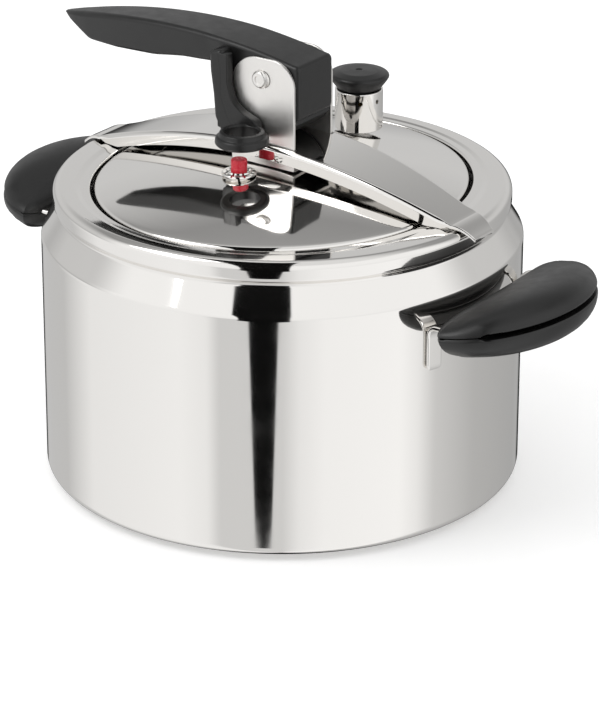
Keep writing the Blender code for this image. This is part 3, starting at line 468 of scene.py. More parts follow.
# ================================================================== pot
def pot_grid(sizes):
    """Drawn body: mouth lip, ledge, rolled rim, neck, shoulder, wall, rounded foot and inside.

    Rows near the mouth are ovals and blend into circles across the ledge by 3w^2 - 2w^3, where w
    is the share of the ledge's width from its outside.
    """
    wall = 0.8
    round_from = 10.0        # from the wall inwards, where the rim is still a circle
    lip_zone = 6.0           # depth below the rim within which rows can be ovals
    radius, rim = sizes.pot_radius, sizes.rim_height
    ledge = rim - 0.4
    mouth = sizes.mouth_long
    outer = rounded(
        [(mouth, ledge - 2.2), (mouth, ledge), (mouth + 3.6, ledge), (mouth + 5.0, rim), (radius - 5.7, rim),
         (radius - 5.7, rim - 8.8), (radius - 8.3, rim - 10.9), (radius, rim - 24.2), (radius, 0.9),
         (radius - 12.0, 4.5), (0.0, 4.5)],
        [0, 1.1, 1.5, 1.5, 4.7, 3.0, 2.2, 4.5, 11.5, 2.0, 0], count=10)
    shifted = rounded(
        [(mouth + wall, ledge - 2.2), (mouth + wall, ledge - wall), (radius - 12.5, ledge - wall - 0.3),
         (radius - 7.5, rim - 4.0), (radius - 9.3, rim - 10.6), (radius - wall, rim - 24.4),
         (radius - wall, 1.6), (radius - 12.6, 5.3), (0.0, 5.3)],
        [0, 0.4, 2.0, 3.0, 2.4, 4.5, 11.0, 2.0, 0], count=8)
    profile = np.concatenate([outer[::-1], shifted])
    span = radius - round_from - mouth
    high = profile[:, 1] > rim - lip_zone
    weight = np.where(high, np.clip((radius - round_from - profile[:, 0]) / (span - 1.5), 0, 1), 0.0)
    weight = weight ** 2 * (3 - 2 * weight)
    return turned(profile, TURN_STEPS, weight, sizes.mouth_short / mouth)


def base_grids(sizes):
    """Steel cap over the heat-spreading base: a shallow dish under the pot's foot."""
    radius = sizes.pot_radius
    outer = rounded([(0, 0), (radius - 11.5, 0), (radius - 2.9, 4.2)], [0, 11.0, 0], count=10)
    inner = rounded([(radius - 3.5, 4.2), (radius - 12.0, 0.6), (0, 0.6)], [0, 11.0, 0], count=10)
    return [turned(np.concatenate([outer, inner]), TURN_STEPS)]


class COOKER_OT_pot(bpy.types.Operator):
    """Drawn steel body and the cap of its base"""

    bl_idname = "cooker.pot"
    bl_label = "Pot"

    def execute(self, context):
        sizes = context.scene.cooker_sizes
        make_piece("pot_drawn_body", [pot_grid(sizes)], "steel", "pot", ["pot_body"])
        make_piece("base_steel_cap", base_grids(sizes), "steel", "pot", ["base_cap"])
        return {"FINISHED"}


# ================================================================== lid
class COOKER_OT_lid(bpy.types.Operator):
    """Oval domed lid and the gasket on its flange"""

    bl_idname = "cooker.lid"
    bl_label = "Lid"

    def execute(self, context):
        sizes = context.scene.cooker_sizes
        squeeze = sizes.mouth_short / sizes.mouth_long
        top = sizes.crown_height
        edge = sizes.mouth_long - 1.8
        flange = sizes.rim_height - 5.4
        dome = 10.0          # fall of the crown at 5 mm inside the mouth
        crown = [(r, top - dome * (r / (sizes.mouth_long - 5)) ** 2) for r in np.linspace(0, edge - 3.2, 24)]
        corner = rounded([crown[-1], (edge, crown[-1][1] - 1.0), (edge, flange), (edge + 6.4, flange)],
                         [0, 2.2, 1.4, 0], count=9)
        under = rounded([(edge + 6.4, flange - 1.0), (edge - 1.0, flange - 1.0),
                         (edge - 1.0, crown[-1][1] - 1.6), (edge - 4.0, crown[-1][1] - 1.0)],
                        [0, 1.6, 1.4, 0], count=7)
        inside = [(r, z - 1.0) for r, z in crown[:-1][::-1]]
        profile = np.concatenate([crown[:-1], corner, under, inside])
        sheet = turned(profile, TURN_STEPS, np.ones(len(profile)), squeeze)
        make_piece("lid_domed_sheet", [sheet], "steel", "lid", ["lid_plate"])
        ring = rounded([(edge + 2.8, flange + 0.2), (edge + 6.1, flange + 0.2), (edge + 6.1, flange + 3.9),
                        (edge + 2.8, flange + 3.9)], [0.6, 0.6, 1.0, 1.0], closed=True, count=5)
        gasket = turned(ring, TURN_STEPS, np.ones(len(ring)), squeeze)
        make_piece("lid_gasket_ring", [gasket], "rubber", "lid", ["lid_gasket"], closed_rows=True)
        return {"FINISHED"}


# ================================================================== bridge
BRIDGE_REACH = 100.0         # half length of the arch, without its tongues
TONGUE_LENGTH = 11.0
TONGUE_DROP = 5.0
ARCH_RISE = 19.5
BRIDGE_MIDDLE_HALF = 18.5    # half widths of the arch in the middle and where the tongue starts
BRIDGE_END_HALF = 10.8
TONGUE_NARROWING = 3.2
FLANGE_DEPTH = 6.6
TONGUE_FLANGE = 1.5
FLANGE_END = 98.5            # where the deep flange has run out
FLANGE_FADE = 2.5
SLOT_HALF = 18.1             # the bracket's ears come up through slots of this half length


def bridge_top(sizes, x):
    """Height of the arch, then of the hooked tongue.

    With r = |x| / reach, the arch falls by rise (1.08 r^2 - 0.08 r^4); beyond it the tongue
    falls by drop times the square of its share of the tongue's length.
    """
    reach = np.abs(x) / BRIDGE_REACH
    arch = sizes.bridge_height - ARCH_RISE * (1.08 * reach ** 2 - 0.08 * reach ** 4)
    past = (np.abs(x) - BRIDGE_REACH) / TONGUE_LENGTH
    tongue = sizes.bridge_height - ARCH_RISE - TONGUE_DROP * past ** 2
    return np.where(reach <= 1, arch, tongue)


def bridge_section(sizes, x, sheet):
    """Section of the arch across X: a channel with rounded shoulders and turned-down flanges."""
    share = min(abs(x) / BRIDGE_REACH, 1)
    past = max(abs(x) - BRIDGE_REACH, 0) / TONGUE_LENGTH
    width = BRIDGE_MIDDLE_HALF - (BRIDGE_MIDDLE_HALF - BRIDGE_END_HALF) * share ** 2 - TONGUE_NARROWING * past
    top = float(bridge_top(sizes, x))
    full = max(min(FLANGE_DEPTH, top - sizes.rim_height - 0.3), TONGUE_FLANGE)
    fade = min(max((FLANGE_END - abs(x)) / FLANGE_FADE, 0), 1)
    depth = TONGUE_FLANGE + (full - TONGUE_FLANGE) * fade
    corner = min(2.2, 0.9 * depth)
    inner_corner = max(corner - sheet, 0.2)
    outer = rounded([(-width, -depth), (-width, 0), (width, 0), (width, -depth)],
                    [0, corner, corner, 0], count=8)
    inner = rounded([(width - sheet, -depth), (width - sheet, -sheet), (-width + sheet, -sheet),
                     (-width + sheet, -depth)], [0, inner_corner, inner_corner, 0], count=8)
    shape = np.concatenate([outer, inner])
    return np.c_[np.full(len(shape), x), shape[:, 0], shape[:, 1] + top]


class COOKER_OT_bridge(bpy.types.Operator):
    """Arched sheet with turned-down edges and hooked ends"""

    bl_idname = "cooker.bridge"
    bl_label = "Bridge"

    def execute(self, context):
        sizes = context.scene.cooker_sizes
        end = BRIDGE_REACH + TONGUE_LENGTH
        tongue = np.linspace(BRIDGE_REACH + 0.5, end, 12)
        stations = np.concatenate([-tongue[::-1], np.linspace(-BRIDGE_REACH, BRIDGE_REACH, 121), tongue])
        sections = np.array([bridge_section(sizes, x, 1.2) for x in stations])
        grid = capped(sections, ((-1, 0, 0), 0.3), ((1, 0, 0), 0.3), 3)
        sides = ((13.6, 15.8), (-15.8, -13.6))
        cuts = [((-SLOT_HALF, near, 140), (SLOT_HALF, far, 180)) for near, far in sides]
        make_piece("bridge_arched_sheet", [grid], "steel", "pot", ["bridge"], cuts=cuts)
        return {"FINISHED"}


# ================================================================== lever bracket
def plate_grid(outline, low, high, edge=0.25):
    """Flat plate of an outline in XZ between two places on Y, with slightly rounded edges."""
    middle = outline.mean(axis=0)
    inward = middle - outline
    inward /= np.linalg.norm(inward, axis=1, keepdims=True)
    rows = [(1.0, low, None), (edge, low, 1), (0.0, low + edge, 1), (0.0, high - edge, 1), (edge, high, 1),
            (1.0, high, None)]
    grid = []
    for inset, y, kind in rows:
        ring = np.repeat(middle[None], len(outline), axis=0) if kind is None else outline + inward * inset
        grid.append(np.c_[ring[:, 0], np.full(len(ring), y), ring[:, 1]])
    return np.array(grid)


def screw_grid(head, rise, slot_depth=0.8):
    """Domed screw head with a round recess, turned; heights run out along the axis."""
    return turned(rounded([(0, rise - slot_depth), (0.42 * head, rise - slot_depth), (0.46 * head, rise),
                           (0.8 * head, rise), (head, 0.35 * rise), (head, 0), (0, 0)],
                          [0, 0.2, 0.2, 0.9, 0.3, 0.1, 0], count=6), 48)


class COOKER_OT_bracket(bpy.types.Operator):
    """Steel bracket with two ears, and the lever's pivot screw"""

    bl_idname = "cooker.bracket"
    bl_label = "Lever bracket"

    def execute(self, context):
        sizes = context.scene.cooker_sizes
        base = sizes.crown_height + 0.3
        ears = []
        half, top = 17.5, sizes.pivot_height + 10
        outline = rounded([(-half, base), (half, base), (half, top), (-half, top)], [0.5, 0.5, 12.0, 14.6],
                          closed=True, count=24)
        for low, high in ((-15.4, -13.9), (13.9, 15.4)):
            ears.append(plate_grid(outline, low, high))
        floor = cutter_grid((-half, -14.2, base), (half, 14.2, base + 1.5))
        make_piece("bracket_ears", ears, "satin", "lid", ["lever_bracket"], sharp=30)
        make_piece("bracket_floor", [floor], "satin", "lid", [], sharp=30)
        head = laid_along_y(screw_grid(4.2, 1.7), sizes.pivot_height, -1.0)
        head[..., 1] -= 15.7
        make_piece("pivot_screw_head", [head], "satin", "lid", [])
        return {"FINISHED"}


# ================================================================== lever
def lever_crest(x):
    """Height of the lever's top above the pivot: two parabolas that meet at the crest."""
    rise, crest = 14.7, -45.0
    tip_fall = 9.7 * ((x - crest) / 81.0) ** 2
    face_fall = 7.0 * ((x - crest) / 64.0) ** 2
    return rise - np.where(x < crest, tip_fall, face_fall)


def lever_width(x):
    """Half width of the lever: parallel at the head, leaf-shaped towards the tip."""
    share = np.clip((np.asarray(x, float) + 126.4) / 96.0, 0.0001, 1)
    leaf = (1 - (1 - share) ** 2.6) ** 0.5
    return 13.6 * leaf * (0.82 + 0.18 * share)


def lever_grid(sizes):
    """Grip and head in one run of sections from the tip to the flat end."""
    pivot = sizes.pivot_height
    belly = rounded([(-125.8, 4.2), (-123.0, 2.0), (-110.0, -5.2), (-92.0, -5.2), (-68.0, -3.6),
                     (-50.0, -0.4), (-23.0, 2.0), (-23.0, -17.0)], [0, 2, 7, 30, 60, 60, 10, 0], count=9)
    angles = np.radians(np.linspace(-38, 46.5, 18))
    reach = 29.6 - 8 * np.clip(angles, 0, None) / (np.pi / 2)
    cam = np.c_[reach * np.sin(angles), -reach * np.cos(angles)]
    grip = resampled(belly[:-1], 90)
    under = np.concatenate([grip, belly[-1:], cam])
    start = np.interp(grip[:, 0], [-126, -40, -23], [-126, -40, -30])
    drop = np.linspace(0, 1, 12)
    start[-12:] = np.interp(drop, [0, 1], [start[-13], -27.0])
    over_x = np.concatenate([start, [-25.0], np.linspace(-23.0, 15.5, len(cam))])
    over = np.c_[over_x, lever_crest(over_x)]
    under[-1, 0] = over_x[-1] = 16.2
    over[-1, 0] = 16.2
    half = lever_width(over[:, 0])
    slim = np.interp(over[:, 0], [-126, -60, -34, -26], [0.62, 0.74, 0.9, 1.0])
    corner = np.interp(over[:, 0], [-126, -112, -30, -20], [0.8, 2.2, 2.2, 1.8])
    sections = bar(over, under, half, half * slim, corner, crown=0.7)
    sections[..., 2] += pivot
    return capped(sections, ((-1, 0, 0), 0.5), ((1, 0, 0), 2.8), 7)


def arm_grids(sizes):
    """Rib that runs down in front of the bracket, the recessed web beside it, ring and foot."""
    pivot = sizes.pivot_height
    left = rounded([(-26.6, 8.0), (-26.4, 1.0), (-24.8, -10.0), (-23.9, -21.0), (-21.0, -26.5)],
                   [0, 6, 10, 5, 0], count=8)
    right = rounded([(-19.0, 9.6), (-17.6, 2.0), (-17.6, -10.0), (-14.0, -20.0), (-9.0, -26.0)],
                    [0, 6, 10, 10, 0], count=8)
    rib = bar(resampled(left, 34), resampled(right, 34), 4.6, 4.6, 2.6, -16.4)
    left_web = np.array([(-22.0, z) for z in np.linspace(9.5, -25.0, 30)])
    edge = rounded([(-15.8, 9.5), (-15.8, -4.0), (-13.4, -12.4), (-8.0, -16.2), (-0.5, -18.9), (1.0, -21.0),
                    (1.0, -25.0)], [0, 5, 6, 6, 2, 1, 0], count=7)
    web = bar(left_web, resampled(edge, 30), 2.3, 2.3, 0.9, -18.6)
    for grid in (rib, web):
        grid[..., 2] += pivot
    up, down = (0, 0, 1), (0, 0, -1)
    ring_top, ring_low = pivot - 20.9, pivot - 27.9
    profile = rounded([(7.7, ring_low + 0.2), (7.7, ring_top - 0.9), (8.6, ring_top),
                       (10.2, ring_top - 0.5), (10.9, ring_top - 2.3), (12.2, ring_top - 3.0),
                       (12.5, ring_low + 1.2), (11.2, ring_low)],
                      [0.3, 0.3, 0.5, 0.8, 0.8, 1.4, 1.4, 1.0], closed=True, count=6)
    ring = turned(profile, 96, centre=(-1.8, -28.7))
    return [capped(rib, (up, 2.0), (down, 1.0), 5), capped(web, (up, 0.5), (down, 0.5), 3)], ring


class COOKER_OT_lever(bpy.types.Operator):
    """Black moulded lever with its arm and lock ring"""

    bl_idname = "cooker.lever"
    bl_label = "Lever"

    def execute(self, context):
        sizes = context.scene.cooker_sizes
        make_piece("lever_moulded_grip", [lever_grid(sizes)], "bakelite", "lever", ["lever_handle"], sharp=50)
        arms, ring = arm_grids(sizes)
        make_piece("lever_arm", arms, "bakelite", "lever", [], sharp=50)
        make_piece("lever_lock_ring", [ring], "bakelite", "lever", [], closed_rows=True, sharp=50)
        return {"FINISHED"}


# ================================================================== indicator
class COOKER_OT_indicator(bpy.types.Operator):
    """Castellated indicator seat and the red pin"""

    bl_idname = "cooker.indicator"
    bl_label = "Pressure indicator"

    def execute(self, context):
        low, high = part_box("indicator_seat")
        centre = ((low.x + high.x) / 2 / MM, (low.y + high.y) / 2 / MM)
        foot = high.z / MM - 3.8
        rim, collar = foot + 1.0, foot + 1.8
        profile = rounded([(4.3, foot + 0.4), (4.3, collar), (5.6, collar), (5.9, rim), (7.8, rim),
                           (8.1, foot), (4.6, foot), (4.6, foot - 8.0), (2.5, foot - 8.0),
                           (2.5, foot + 0.4)],
                          [0.1, 0.35, 0.4, 0.3, 0.5, 0.2, 0, 0, 0, 0], closed=True, count=6)
        seat = turned(profile, 96, centre=centre)
        piece = make_piece("indicator_castellated_seat", [seat], "steel", "lid", ["indicator_seat"],
                           closed_rows=True)
        for i in range(4):
            notch = cutter_grid((-12, -0.5, rim - 0.6), (12, 0.5, collar + 2))
            notch = turned_about(notch, math.radians(45 * i + 10))
            notch[..., 0] += centre[0]
            notch[..., 1] += centre[1]
            cut_with(piece, mesh_of(notch))
        resharpen(piece)
        pin_low, pin_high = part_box("indicator_pin")
        crest = pin_high.z / MM
        bottom = pin_low.z / MM
        pin = turned(rounded([(0, crest), (3.75, crest), (3.75, foot + 0.7), (2.2, foot + 0.7), (2.2, bottom),
                              (0, bottom)], [0, 0.7, 0.2, 0.1, 0.3, 0], count=7), 64, centre=centre)
        make_piece("indicator_red_pin", [pin], "red", "indicator", ["indicator_pin"])
        return {"FINISHED"}


# ================================================================== steam valve
class COOKER_OT_valve(bpy.types.Operator):
    """Steel sleeve with its row of vents and the black knob"""

    bl_idname = "cooker.valve"
    bl_label = "Steam valve"

    def execute(self, context):
        low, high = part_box("valve_sleeve")
        centre = ((low.x + high.x) / 2 / MM, (low.y + high.y) / 2 / MM)
        radius = (high.x - low.x) / 2 / MM
        foot, top = low.z / MM, high.z / MM
        profile = rounded([(2.1, top), (radius, top), (radius, foot), (radius - 0.8, foot),
                           (radius - 0.8, top - 0.8), (2.1, top - 0.8)],
                          [0, 0.6, 0.3, 0.3, 0.4, 0], closed=True, count=6)
        sleeve = make_piece("valve_steel_sleeve", [turned(profile, 128, centre=centre)], "steel", "valve_cap",
                            ["valve_sleeve"], closed_rows=True)
        for i in range(4):
            vent = turned([(0, -20), (1.05, -20), (1.05, 20), (0, 20)], 24)
            vent = turned_about(laid_along_y(vent, top - 4.6), math.radians(45 * i + 38.5))
            vent[..., 0] += centre[0]
            vent[..., 1] += centre[1]
            cut_with(sleeve, mesh_of(vent))
        resharpen(sleeve)
        k_low, k_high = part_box("valve_knob")
        base, crest = k_low.z / MM, k_high.z / MM
        wide = (k_high.x - k_low.x) / 2 / MM
        knob = rounded([(0, crest - 0.5), (1.2, crest - 0.5), (1.8, crest), (0.62 * wide, crest - 0.3),
                        (0.93 * wide, crest - 1.3), (wide, crest - 2.6), (0.93 * wide, crest - 4.4),
                        (10.3, base), (2.1, base), (2.1, base + 5.3), (0, base + 5.3)],
                       [0, 0.3, 0.8, 6, 2.5, 1.2, 4, 0.6, 0, 0, 0], count=8)
        make_piece("valve_black_knob", [turned(knob, 96, centre=centre)], "bakelite", "valve_cap",
                   ["valve_knob"], sharp=50)
        return {"FINISHED"}


# ================================================================== side handles
HANDLE_TILT = math.atan(0.14)
HANDLE_TURNS = {"right": math.radians(1), "left": math.radians(174)}
HANDLE_INNER = 114.4         # from the pot's axis to the grip's inner side
HANDLE_DEPTH = 45.2
HANDLE_HALF = 52.0           # half length
HANDLE_CORNER = 5.0
HANDLE_BULGE = 1.5
STRAP_ANGLE = math.radians(18.7)


def handle_plan(turn):
    """Edge of the grip in plan: half an oval outside, nearly straight inside, round corners.

    Outside x = corner + (depth - corner) cos(turn); inside x = bulge (1 - s^2) + corner s^12 with
    s = sin(turn); y = half length times s.
    """
    along = np.sin(turn)
    out = HANDLE_CORNER + (HANDLE_DEPTH - HANDLE_CORNER) * np.cos(turn)
    inner = HANDLE_BULGE * (1 - along ** 2) + HANDLE_CORNER * along ** 12
    return np.c_[np.where(np.cos(turn) >= 0, out, inner), HANDLE_HALF * along]


def shell_grid(sizes, side, upper):
    """One shell of a side handle: the grip's plan drawn in towards its middle as it rises.

    A ring at angle a above the parting plane is drawn in by cos(a)^0.54 and stands at
    sin(a)^0.95 of the height, which grows smoothly outwards on the upper shell. Along the outer
    edge the shell stands off the parting plane and leaves a slot. The grip is then tilted, turned
    round the pot and set at its height.
    """
    turn = np.linspace(-np.pi, np.pi, 160, endpoint=False)
    plan = handle_plan(turn)
    middle = np.array([0.45 * HANDLE_DEPTH, 0.0])
    way = 1 if upper else -1

    def height(x):
        out = np.clip((x - 4) / 26, 0, 1)
        return 7.8 + 3.4 * out ** 2 * (3 - 2 * out) if upper else np.full(len(x), 14.5)

    def slot(x, y):
        along = np.clip((46 - np.abs(y)) / 1.0, 0, 1)
        return 0.12 + 1.2 * along * np.clip((x - 9) / 1.5, 0, 1)

    rows = []
    for shrink in (0.0, 0.4, 0.7, 0.88, 0.95, 0.985):
        ring = middle + (plan - middle) * shrink
        rows.append(np.c_[ring, way * slot(ring[:, 0], ring[:, 1])])
    for angle in np.radians([3, 6, 11, 18, 26, 35, 45, 55, 64, 72, 79, 85, 88, 90]):
        shrink = max(math.cos(angle), 0) ** 0.54
        ring = middle + (plan - middle) * shrink
        x, y = ring[:, 0], ring[:, 1]
        stand = slot(x, y)
        rows.append(np.c_[ring, way * (stand + (height(x) - stand) * math.sin(angle) ** 0.95)])
    grid = np.array(rows)
    grid[-1, :, :2] = middle
    c, t = math.cos(HANDLE_TILT), math.sin(HANDLE_TILT)
    x = grid[..., 0] * c - grid[..., 2] * t + HANDLE_INNER
    z = grid[..., 0] * t + grid[..., 2] * c + sizes.parting_height
    return turned_about(np.stack([x, grid[..., 1], z], axis=-1), HANDLE_TURNS[side])


def strap_grid(sizes):
    """One leg of the strap: up the wall, then bent out along the parting plane into the slot."""
    wall, foot = sizes.pot_radius + 0.3, sizes.parting_height - 20
    bend, far = sizes.parting_height - 0.9, 131.0
    rise = 0.13 * (far - wall)
    inner = rounded([(wall, foot), (wall, bend + 1), (far, bend + 1 + rise)], [0, 6.5, 0], count=12)
    outer = rounded([(wall + 2, foot), (wall + 2, bend - 1), (far, bend - 1 + rise)], [0, 4.5, 0], count=12)
    leg = bar(resampled(inner, 36), resampled(outer, 36), 4.0, 4.0, 0.95)
    return capped(leg, ((0, 0, -1), 2.0), ((1, 0, 0), 0.3), 5)


class COOKER_OT_handles(bpy.types.Operator):
    """Two side handles, each two black shells on a welded steel strap"""

    bl_idname = "cooker.handles"
    bl_label = "Side handles"

    def execute(self, context):
        sizes = context.scene.cooker_sizes
        for side, turn in HANDLE_TURNS.items():
            for level in ("upper", "lower"):
                shell = f"{side}_handle_{level}"
                grid = shell_grid(sizes, side, level == "upper")
                make_piece(shell + "_shell", [grid], "bakelite", "pot", [shell], sharp=50)
            legs = [turned_about(strap_grid(sizes), turn + way * STRAP_ANGLE) for way in (-1, 1)]
            make_piece(side + "_handle_strap_legs", legs, "steel", "pot", [side + "_handle_strap"])
        return {"FINISHED"}


# ================================================================== carried-over nodes
class COOKER_OT_hidden(bpy.types.Operator):
    """Materials for the CAD nodes that are shown as they are"""

    bl_idname = "cooker.hidden"
    bl_label = "Inner pieces"

    def execute(self, context):
        by_slot = {"polished_steel": "satin", "black_bakelite": "bakelite", "black_rubber": "rubber",
                   "brass": "brass", "aluminium": "aluminium", "red_plastic": "red"}
        slots = {part["node"]: part["material_slot"] for part in frame["record"]["subparts"]}
        for name, node in frame["nodes"].items():
            key = by_slot[slots[name]]
            if not node.material_slots:
                node.data.materials.append(None)
            for place in node.material_slots:
                place.material = material_of(key)
        return {"FINISHED"}


# ================================================================== stage
CAMERA_BEARING = 35.9        # degrees from -Y towards +X
CAMERA_DOWN = 23.0           # degrees below the horizon
CAMERA_DISTANCE = 1.667      # metres from the point aimed at
CAMERA_AIM_HEIGHT = 0.060
CAMERA_RAISE = 0.00424       # metres up its own frame
GAP_BLUR = 0.006             # softness of the dark gap's edges, as part of a direction


def math_node(tree, operation, *values):
    """A math node; each value is a socket or a number."""
    node = add_node(tree, "ShaderNodeMath", {"operation": operation})
    for socket, value in zip(node.inputs, values):
        if isinstance(value, bpy.types.NodeSocket):
            tree.links.new(value, socket)
        else:
            socket.default_value = value
    return node.outputs[0]


def along(tree, direction, axis):
    """Part of a direction along an axis."""
    node = add_node(tree, "ShaderNodeVectorMath", {"operation": "DOT_PRODUCT"})
    tree.links.new(direction, node.inputs[0])
    node.inputs[1].default_value = axis
    return node.outputs["Value"]


def smooth_step(tree, value, low, high):
    """0 below low, 1 above high, smooth between."""
    node = add_node(tree, "ShaderNodeMapRange", {"interpolation_type": "SMOOTHSTEP"}, Value=value)
    node.inputs["From Min"].default_value = low
    node.inputs["From Max"].default_value = high
    return node.outputs["Result"]


def tone_ramp(tree, value, stops):
    """A colour ramp of greys from (place, brightness) pairs."""
    ramp = add_node(tree, "ShaderNodeValToRGB", Fac=value).color_ramp
    node = tree.nodes[-1]
    ramp.elements.remove(ramp.elements[-1])
    for index, (place, tone) in enumerate(stops):
        element = ramp.elements[0] if index == 0 else ramp.elements.new(place)
        element.position = place
        element.color = (tone, tone, tone, 1)
    return node.outputs["Color"]


def studio_world():
    """White to the camera and as light; in metal, a studio with a grey wall behind.

    The reflected brightness depends on the direction: below the horizon on its bearing, above
    it on its height at the back and white at the front. One dark gap stands in front, wider
    overhead and dwindling towards the ground.
    """
    world = bpy.data.worlds.new("studio")
    bpy.context.scene.world = world
    world.use_nodes = True
    tree = world.node_tree
    tree.nodes.clear()
    turn = math.radians(CAMERA_BEARING)
    direction = tree.nodes.new("ShaderNodeTexCoord").outputs["Generated"]
    across = along(tree, direction, (math.cos(turn), math.sin(turn), 0))
    away = along(tree, direction, (-math.sin(turn), math.cos(turn), 0))
    height = along(tree, direction, (0, 0, 1))
    bearing = math_node(tree, "ARCTAN2", across, math_node(tree, "MULTIPLY", away, -1.0))
    place = math_node(tree, "MULTIPLY_ADD", bearing, 0.5 / math.pi, 0.5)

    ground = tone_ramp(tree, place, GROUND_TONES)
    behind = tone_ramp(tree, height, BEHIND_TONES)
    front = tone_ramp(tree, height, FRONT_TONES)
    sky = add_node(tree, "ShaderNodeMix", {"data_type": "RGBA"}, Factor=smooth_step(tree, away, -0.15, 0.25))
    tree.links.new(front, sky.inputs["A"])
    tree.links.new(behind, sky.inputs["B"])
    horizon = smooth_step(tree, height, -0.12, -0.02)
    room = add_node(tree, "ShaderNodeMix", {"data_type": "RGBA"}, Factor=horizon)
    tree.links.new(ground, room.inputs["A"])
    tree.links.new(sky.outputs["Result"], room.inputs["B"])

    middle = math_node(tree, "ABSOLUTE", math_node(tree, "ADD", across, 0.14))
    reach = math_node(tree, "MULTIPLY_ADD", height, 0.9, 0.46)
    reach = math_node(tree, "MINIMUM", reach, 0.2)
    reach = math_node(tree, "MULTIPLY", reach, smooth_step(tree, height, -0.462, -0.44))
    ahead = math_node(tree, "LESS_THAN", away, 0.15)
    above_foot = math_node(tree, "GREATER_THAN", height, -0.46)
    outside = smooth_step(tree, math_node(tree, "SUBTRACT", middle, reach), -GAP_BLUR, GAP_BLUR)
    inside = math_node(tree, "SUBTRACT", 1.0, outside)
    dark = math_node(tree, "MULTIPLY", inside, math_node(tree, "MULTIPLY", ahead, above_foot))
    gap = add_node(tree, "ShaderNodeMix", {"data_type": "RGBA"}, Factor=dark)
    tree.links.new(room.outputs["Result"], gap.inputs["A"])
    gap.inputs["B"].default_value = (0.004, 0.004, 0.004, 1)

    path = tree.nodes.new("ShaderNodeLightPath")
    plain = add_node(tree, "ShaderNodeBackground", Color=(1, 1, 1, 1), Strength=1.0)
    seen = add_node(tree, "ShaderNodeBackground", Color=gap.outputs["Result"], Strength=1.0)
    mix = add_node(tree, "ShaderNodeMixShader", Fac=path.outputs["Is Glossy Ray"])
    tree.links.new(plain.outputs[0], mix.inputs[1])
    tree.links.new(seen.outputs[0], mix.inputs[2])
    output = tree.nodes.new("ShaderNodeOutputWorld")
    tree.links.new(mix.outputs[0], output.inputs["Surface"])


def bearing_tones(*stops):
    """Ramp stops from (degrees to the right of the camera's side, brightness) pairs."""
    return [(0.5 + degrees / 360, tone) for degrees, tone in stops]


GROUND_TONES = bearing_tones((-167, 0.01), (-162, 0.56), (-128, 0.58), (-104, 0.9), (-50, 0.98), (-36, 0.92),
                             (-30, 0.69), (0, 0.7), (8, 0.9), (20, 1.0), (58, 1.04), (68, 0.92), (78, 0.66),
                             (105, 0.5), (150, 0.42), (160, 0.44), (166, 0.01))
BEHIND_TONES = [(0.0, 0.5), (0.12, 0.62), (0.3, 0.64), (0.42, 0.6), (0.55, 0.46), (0.66, 0.3), (0.8, 0.35),
                (0.96, 0.8)]
FRONT_TONES = [(0.0, 0.95), (0.3, 1.0), (0.7, 1.0), (0.85, 0.8), (1.0, 0.8)]


def studio_floor(colours):
    """Broad pale floor under the cooker."""
    material, tree, shader = new_material("floor_matt_paint")
    grain = noise(tree, 3.0, 2)
    shader.inputs["Base Color"].default_value = linear(colours.floor)
    shader.inputs["Specular IOR Level"].default_value = 0.1
    shader.inputs["Emission Color"].default_value = (1, 1, 1, 1)
    shader.inputs["Emission Strength"].default_value = 0.2
    tree.links.new(spread(tree, grain, 0.5, 0.6), shader.inputs["Roughness"])
    mesh = bpy.data.meshes.new("floor")
    reach = 6.0
    mesh.from_pydata([(-reach, -reach, 0), (reach, -reach, 0), (reach, reach, 0), (-reach, reach, 0)], [],
                     [(0, 1, 2, 3)])
    mesh.materials.append(material)
    floor = bpy.data.objects.new("floor", mesh)
    bpy.context.scene.collection.objects.link(floor)
    floor.visible_glossy = False


def studio_light(name, place, aim, size, watts):
    """Soft square lamp."""
    data = bpy.data.lights.new(name, "AREA")
    data.size = size
    data.energy = watts
    lamp = bpy.data.objects.new(name, data)
    lamp.location = place
    direction = np.array(aim) - np.array(place)
    lamp.rotation_euler = Vector(direction).to_track_quat("-Z", "Y").to_euler()
    bpy.context.scene.collection.objects.link(lamp)


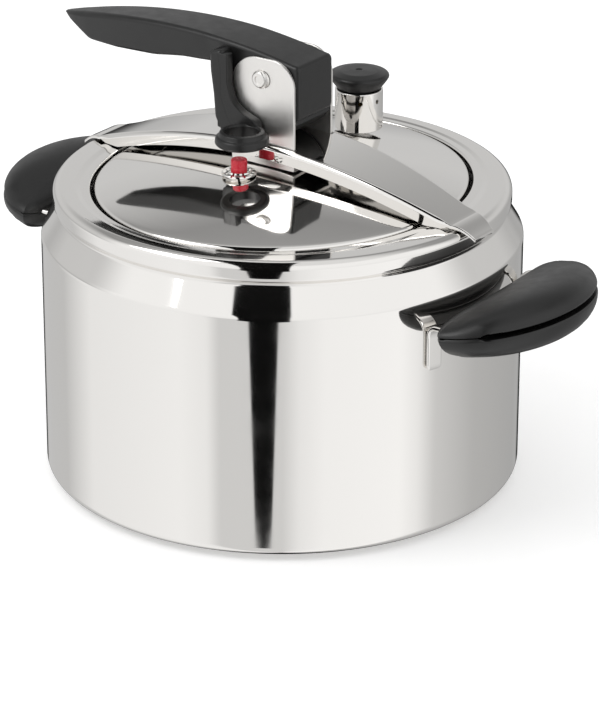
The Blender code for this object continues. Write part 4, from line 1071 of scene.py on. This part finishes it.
def studio_camera():
    """Long lens that looks down at the cooker, moved a little up its own frame."""
    data = bpy.data.cameras.new("camera")
    data.lens = 176.8
    data.sensor_width = 36
    data.shift_x = 0.0238
    data.shift_y = -0.0382
    data.clip_end = 50
    camera = bpy.data.objects.new("camera", data)
    bearing, down = math.radians(CAMERA_BEARING), math.radians(CAMERA_DOWN)
    away = np.array([math.sin(bearing) * math.cos(down), -math.cos(bearing) * math.cos(down), math.sin(down)])
    up = np.array([-math.sin(bearing) * math.sin(down), math.cos(bearing) * math.sin(down), math.cos(down)])
    camera.location = np.array([0, 0, CAMERA_AIM_HEIGHT]) + away * CAMERA_DISTANCE + up * CAMERA_RAISE
    camera.rotation_euler = (math.pi / 2 - down, 0, bearing)
    bpy.context.scene.collection.objects.link(camera)
    bpy.context.scene.camera = camera


class COOKER_OT_stage(bpy.types.Operator):
    """White floor, studio light and camera"""

    bl_idname = "cooker.stage"
    bl_label = "Studio"

    def execute(self, context):
        studio_world()
        studio_floor(context.scene.cooker_colours)
        studio_light("key", (-0.9, -1.3, 1.9), (0, 0, 0.1), 1.2, 12)
        studio_camera()
        context.scene.view_settings.view_transform = "Standard"
        return {"FINISHED"}


# ================================================================== add-on
OPERATORS = (COOKER_OT_hidden, COOKER_OT_pot, COOKER_OT_lid, COOKER_OT_bridge, COOKER_OT_bracket,
             COOKER_OT_lever, COOKER_OT_indicator, COOKER_OT_valve, COOKER_OT_handles, COOKER_OT_stage)


class COOKER_PT_panel(bpy.types.Panel):
    """Lists the builders and their settings"""

    bl_idname = "COOKER_PT_panel"
    bl_label = "Pressure cooker"
    bl_space_type = "VIEW_3D"
    bl_region_type = "UI"
    bl_category = "Cooker"

    def draw(self, context):
        for group in (context.scene.cooker_sizes, context.scene.cooker_colours):
            for name in group.__annotations__:
                self.layout.prop(group, name)
        for operator in OPERATORS:
            self.layout.operator(operator.bl_idname)


CLASSES = (CookerSizes, CookerColours, *OPERATORS, COOKER_PT_panel)


def register():
    """Registers the classes and hangs the settings on the scene."""
    for item in CLASSES:
        bpy.utils.register_class(item)
    bpy.types.Scene.cooker_sizes = bpy.props.PointerProperty(type=CookerSizes)
    bpy.types.Scene.cooker_colours = bpy.props.PointerProperty(type=CookerColours)


def unregister():
    """Removes the settings and the classes."""
    del bpy.types.Scene.cooker_colours
    del bpy.types.Scene.cooker_sizes
    for item in reversed(CLASSES):
        bpy.utils.unregister_class(item)


def main():
    """Builds everything."""
    register()
    for operator in OPERATORS:
        group, name = operator.bl_idname.split(".")
        getattr(getattr(bpy.ops, group), name)()
    bpy.context.view_layer.update()


if __name__ == "__main__":
    main()
